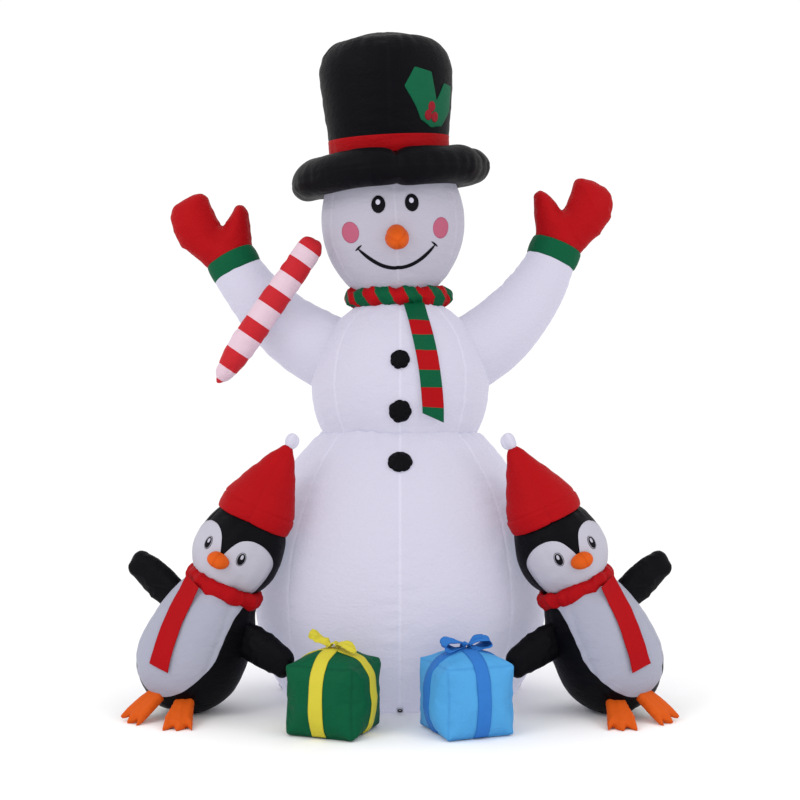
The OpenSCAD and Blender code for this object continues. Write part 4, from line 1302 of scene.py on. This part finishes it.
def gift_shape():
    """A sewn cube blown up with air: its faces swell, and its edges draw in."""
    work = bmesh.new()
    bmesh.ops.create_cube(work, size=1.0)
    bmesh.ops.subdivide_edges(work, edges=work.edges, cuts=31, use_grid_fill=True)
    piece = add_object("gift", take_mesh(work, "gift"))
    u = coords(piece) * 2
    face = np.sort(np.abs(u), axis=1)
    open_face = (1 - face[:, 0] ** 2) * (1 - face[:, 1] ** 2)
    side = np.argmax(np.abs(u), axis=1)
    out = np.zeros_like(u)
    out[np.arange(len(u)), side] = np.sign(u[np.arange(len(u)), side])
    size = np.array([GIFT_W, GIFT_W, GIFT_H])
    swell = np.where(side == 2, 0.034, 0.012)
    p = u / 2 * size + out * (open_face * swell)[:, None]
    p[:, 2] += GIFT_H / 2 + 0.003
    set_coords(piece, p)
    inflate(piece, 2.5, 0.012, 16, 20.0)
    stand(piece, 0.0015)
    return piece, face


def make_gift(side, shape, face, material, seed):
    piece = add_object(COLORS[side] + "_gift_cloth", shape.data.copy())
    edge = (1 - face[:, 1]) * GIFT_W / 2
    p = coords(piece)
    lift = 0.0018 * np.exp(-edge / 0.022) * waves(p, 0.026, seed) + 0.0024 * waves(p, 0.09, seed + 1)
    lift -= 0.0014 * bell(edge, 0.004)
    lift += 0.0012 * creases(waves(p, 0.08, seed + 2))
    wrinkle(piece, np.where(p[:, 2] < 0.004, 0, lift))
    mark_seam(piece, bell(edge, 0.0035))
    finish_cloth(piece, material)
    stand(piece, 0.001)
    return piece


def gift_ribbon(tree, name, material):
    """Two bands round the gift that follow its cloth."""
    made = []
    centre = GIFT_H / 2
    for k, (way, across) in enumerate((((1, 0), (0, 1)), ((0, 1), (1, 0)))):
        angles = np.linspace(rad(-44), rad(224), 150)
        off = np.linspace(-RIBBON_W / 2, RIBBON_W / 2, 9)
        top = np.zeros((len(angles), len(off), 3))
        for i, a in enumerate(angles):
            ray = Vector((math.cos(a) * way[0], math.cos(a) * way[1], math.sin(a)))
            for j, o in enumerate(off):
                start = Vector((across[0] * o, across[1] * o, centre))
                hit = tree.ray_cast(start, ray)[0]
                top[i, j] = hit if hit is not None else start + ray * 0.12
        for _ in range(2):
            top[1:-1] = (top[:-2] + 2 * top[1:-1] + top[2:]) / 4
        mid = np.array([0, 0, centre])
        out = unit(top - mid)
        edge = np.abs(np.linspace(-1, 1, len(off)))[None, :, None]
        top += out * (0.0022 + 0.0006 * k + 0.0012 * (1 - edge ** 2))
        top[..., 2] = np.maximum(top[..., 2], 0.0012)
        made.append(slab_mesh(f"{name}{k}", top, top - out * 0.0022, [material]))
    return join(name, made)


def gather(points, widths, seed, material, name, crumple=0.004, thick=0.0007):
    """A gathered strip of ribbon: each point of its line also gives the way across it."""
    rows, columns = 60, 17
    line = smooth_path([p[:3] for p in points], rows, 2)
    side = unit(even(np.array([p[3:] for p in points], float), rows))
    wide = np.interp(np.linspace(0, 1, rows), np.linspace(0, 1, len(widths)), widths)
    u = np.linspace(-0.5, 0.5, columns)[None, :]
    grid = line[:, None] + side[:, None] * (u * wide[:, None])[..., None]
    normal = unit(np.cross(np.gradient(line, axis=0), side))
    s = np.linspace(0, 1, rows)[:, None]
    flat = np.stack([s * 0.12 + 0 * u, u * max(widths) + 0 * s], -1)
    fold = crumple * waves(flat * [0.35, 1.0], 0.022, seed) + crumple * 0.6 * waves(flat, 0.03, seed + 1)
    grid = grid + normal[:, None] * fold[..., None]
    n = normal[:, None] * thick
    return slab_mesh(name, grid + n, grid - n, [material])


def bow(side, material, z):
    """The green bow has a crumpled loop and a flat tail, and the blue one has two gathered loops."""
    if side == 0:
        parts = [
            gather([(-0.004, 0, z + 0.006, 0, 1, 0.2), (-0.030, -0.004, z + 0.020, 0.2, 1, 0.5),
                    (-0.056, -0.006, z + 0.037, 0.3, 1, 0.6), (-0.078, -0.006, z + 0.046, 0.1, 1, 0.8)],
                   [0.018, 0.036, 0.038, 0.030], 401, material, "bow_a", 0.006),
            gather([(0.004, 0.0, z + 0.006, 0, 1, 0), (0.030, -0.006, z + 0.022, 0, 1, 0.3),
                    (0.060, -0.014, z + 0.012, 0.1, 1, 0.4), (0.086, -0.026, z - 0.002, 0.1, 1, 0.3)],
                   [0.020, 0.040, 0.046, 0.012], 403, material, "bow_b", 0.003),
            gather([(-0.02, -0.012, z + 0.004, 0, 1, 0), (0.0, -0.004, z + 0.021, 0, 1, 0.1),
                    (0.020, 0.004, z + 0.004, 0, 1, 0)], [0.030, 0.034, 0.030], 405, material, "knot",
                   0.003),
        ]
    else:
        parts = []
        for k, s in enumerate((-1, 1)):
            parts.append(gather([(s * 0.004, 0, z + 0.008, 0, 1, 0), (s * 0.034, -0.004, z + 0.030, 0, 1,
                                                                      0.3), (s * 0.072, 0.0, z + 0.030, 0,
                                                                             1, 0.2),
                                 (s * 0.084, 0.002, z + 0.014, 0, 1, 0), (s * 0.058, 0.0, z + 0.004, 0, 1,
                                                                          0), (s * 0.006, 0, z + 0.004, 0,
                                                                               1, 0)],
                                [0.016, 0.046, 0.060, 0.060, 0.044, 0.016], 411 + 4 * k, material,
                                f"loop{k}", 0.005))
        parts.append(gather([(-0.016, -0.006, z + 0.002, 0, 1, 0), (0.0, -0.002, z + 0.022, 0, 1, 0.1),
                             (0.016, 0.004, z + 0.002, 0, 1, 0)], [0.03, 0.032, 0.03], 421, material,
                            "knot", 0.003))
    return join(COLORS[side] + "_bow_cloth", parts)


def make_gifts():
    shape, face = gift_shape()
    looks = [(GREEN, "green_cloth", YELLOW, "ribbon_yellow"), (BLUE, "blue_cloth", RIBBON_BLUE,
                                                               "ribbon_blue")]
    for side, (cover, cover_slot, band, band_slot) in enumerate(looks):
        name = COLORS[side]
        gift = make_gift(side, shape, face, cover, 431 + 10 * side)
        faces = [tuple(p.vertices) for p in gift.data.polygons]
        tree = BVHTree.FromPolygons([tuple(v) for v in coords(gift)], faces)
        ribbons = gift_ribbon(tree, f"{name}_ribbon_cloth", band)
        top = tree.ray_cast(Vector((0, 0, 0.1)), Vector((0, 0, 1)))[0][2]
        tie = bow(side, band, top + 0.002)
        for piece in (gift, ribbons, tie):
            piece.data.transform(gift_frame(side))
            if side:
                piece.data.flip_normals()
        place(gift, cover_slot, f"{name}_gift")
        place(ribbons, band_slot, f"{name}_gift_ribbon")
        place(tie, band_slot, f"{name}_gift_bow")
    bpy.data.objects.remove(shape)


# ---- air sleeves, blower collar, zip and stake loops ----

SLEEVES = [("penguin", 0.185, 0.045, 0.480, 0.200, math.degrees(math.atan2(-0.390, 0.698))),
           ("gift", 0.100, 0.035, 0.460, 0.112, math.degrees(math.atan2(-0.651, 0.205)))]


def make_sleeves():
    made = []
    for side in (0, 1):
        for k, (name, z, radius, start, length, turn) in enumerate(SLEEVES):
            own = mirrored(1 - side) @ moved(0, 0, z) @ turned(0, 0, turn)
            own = own @ turned(0, 90) @ moved(0, 0, start)
            s = np.linspace(0, 1, 30)
            outline = np.stack([radius * (0.96 - 0.06 * np.sin(math.pi * s)), s * length], -1)
            sleeve = Round(own, outline, 2, 0, 501 + 10 * side + k, 0.001, 0.002, 0.002, (0.003, 0.003),
                           0.001)
            made.append(sleeve.mesh(f"{name}_sleeve{side}", 40, 40, WHITE))
    place(join("air_sleeves_cloth", made), "white_cloth", "air_sleeves")


def make_collar():
    """The cloth sleeve that the blower is tied into, ruffled behind its drawstring."""
    outline = smooth_path([(0.0785, 0.0), (0.0800, 0.012), (0.0815, 0.030), (0.0790, 0.050),
                           (0.0768, 0.056), (0.0790, 0.062), (0.0815, 0.070), (0.0825, 0.0765)], 60, 2)
    rows, columns = 60, 200
    phi = circle(columns)[None, :]
    s = np.linspace(0, 1, rows)[:, None]
    ruffle = 0.0022 * np.sin(phi * 23 + 1.5 * np.sin(3 * phi)) * (0.15 + s ** 2)
    r = np.interp(s, np.linspace(0, 1, 60), outline[:, 0]) + ruffle
    z = np.interp(s, np.linspace(0, 1, 60), outline[:, 1])
    own = moved(0, 0.446, 0.150) @ turned(-90)
    top, under = (carry(polar(radius, phi, z), own) for radius in (r, r - 0.0012))
    piece = slab_mesh("blower_collar_cloth", top, under, [WHITE], wrap=True)
    place(piece, "white_cloth", "blower_collar")
    cord = scarf_ring("collar_drawstring", moved(0, 0.502, 0.150) @ turned(-90), 0.0785, 0.0018, 160, 521,
                      [PRINT], None, 0, 0.0002)
    place(cord, "loop_webbing")


def arc_grid(angles, heights, out):
    """Points on the zip's arc."""
    a, r = np.radians(angles), ZIP_R + out
    return np.stack(np.broadcast_arrays(r * np.cos(a), r * np.sin(a), ZIP_Z + heights[:, None]), -1)


def make_zip():
    angles = np.linspace(ZIP_START - 3, ZIP_START + ZIP_SPAN + 3, 160)
    heights = np.linspace(-0.015, 0.015, 17)
    ripple = 0.0005 * np.sin(np.radians(angles) * 70)[None, :] * (np.abs(heights) / 0.015)[:, None]
    tape = slab_mesh("zip_tape_cloth", arc_grid(angles, heights, 0.0014 + ripple),
                     arc_grid(angles, heights, 0.0), [TAPE])
    work = bmesh.new()
    count = 230
    for k in range(count):
        angle = rad(ZIP_START - 1 + (ZIP_SPAN + 2) * k / (count - 1))
        side = 1 if k % 2 else -1
        tooth = bmesh.ops.create_cube(work, size=1.0)
        shape = (Matrix.Rotation(angle, 4, "Z") @ moved(ZIP_R + 0.0022, 0, ZIP_Z + side * 0.0009)
                 @ Matrix.Diagonal((0.0022, 0.0014, 0.0046, 1)))
        bmesh.ops.transform(work, matrix=shape, verts=tooth["verts"])
    bmesh.ops.bevel(work, geom=work.edges, offset=0.0003, segments=1, affect="EDGES")
    teeth = add_object("zip_teeth", take_mesh(work, "zip_teeth"))
    teeth.data.materials.append(NYLON)
    place(tape, "zip_nylon", "zip_tape")
    place(teeth, "zip_nylon")


LOOP_ANGLES, LOOP_Z = (-90, -8, 188, 50, 130), 0.014


def make_loops():
    """Webbing tabs with a ring of stitches, sewn to the foot of the ball."""
    made = []
    radius = BALL_R * math.cos(math.asin((LOOP_Z - BALL_MID) / BALL_BELOW)) + 0.0032
    for k, angle in enumerate(LOOP_ANGLES):
        own = turned(0, 0, angle) @ moved(radius, 0, 0.012) @ turned(0, 125)
        t = circle(64)[None, :]
        share = np.linspace(0, 1, 8)[:, None]
        c, n = np.cos(t), np.sin(t)
        big, small = np.maximum(np.abs(c), np.abs(n)), np.minimum(np.abs(c), np.abs(n))
        square = 0.011 / big * (1 - 0.1 * (small > 0.66))
        reach = 0.0062 + (square - 0.0062) * share
        swell = 0.0011 + 0.0003 * np.sin(share * math.pi * 3)
        top, under = (carry(np.stack(np.broadcast_arrays(reach * c, reach * n, height), -1), own)
                      for height in (swell, -swell))
        made.append(slab_mesh(f"loop{k}", top, under, [WEBBING], wrap=True))
    place(join("stake_loops_cloth", made), "loop_webbing", "stake_loops")


def dress_hardware():
    for name, material in (("blower_housing", HOUSING), ("blower_grille", HOUSING),
                           ("cord_gland", HOUSING), ("blower_motor", MOTOR), ("blower_fan", FAN),
                           ("light_cable", CABLE), ("light_lamps", LAMP), ("zip_slider", ZIP_METAL),
                           ("zip_pull", ZIP_METAL), ("stake_eyelets", EYELET)):
        nodes[name].data.materials.clear()
        nodes[name].data.materials.append(material)


# ---- floor and light ----


FLOOR_SIZE = 600
LIGHT_SIZE = 2.5
LIGHTS = [((-3.2, -3.6, 3.6), 60), ((3.6, -3.0, 3.0), 34)]


def make_set():
    bpy.ops.mesh.primitive_plane_add(size=FLOOR_SIZE, location=(0, 0, -0.0005))
    floor = bpy.context.object
    floor.name = "floor"
    g = Graph("floor")
    g.put(g.mix(g.noise(0.8), (0.985, 0.985, 0.985), (0.99, 0.99, 0.99)), g.shader.inputs["Base Color"])
    g.value("Roughness", 0.9)
    g.value("Specular IOR Level", 0.1)
    floor.data.materials.append(g.material)
    world = bpy.data.worlds.new("world")
    scene.world = world
    world.use_nodes = True
    world.node_tree.nodes["Background"].inputs["Color"].default_value = (1, 1, 1, 1)
    world.node_tree.nodes["Background"].inputs["Strength"].default_value = 1.04
    for place_at, power in LIGHTS:
        light = bpy.data.lights.new("soft", "AREA")
        light.shape = "DISK"
        light.size = LIGHT_SIZE
        light.energy = power
        lamp = bpy.data.objects.new("soft", light)
        lamp.location = place_at
        aim = Vector((0, 0, 1.0)) - Vector(place_at)
        lamp.rotation_euler = aim.to_track_quat("-Z", "Y").to_euler()
        scene.collection.objects.link(lamp)
    scene.view_settings.view_transform = "Standard"


for make in (make_bodies, make_arms, make_face, make_nose, make_buttons, make_brim, make_crown, make_holly,
             make_neck_scarf, make_cane, make_penguins, make_gifts, make_sleeves, make_collar, make_zip,
             make_loops, dress_hardware, make_set):
    make()
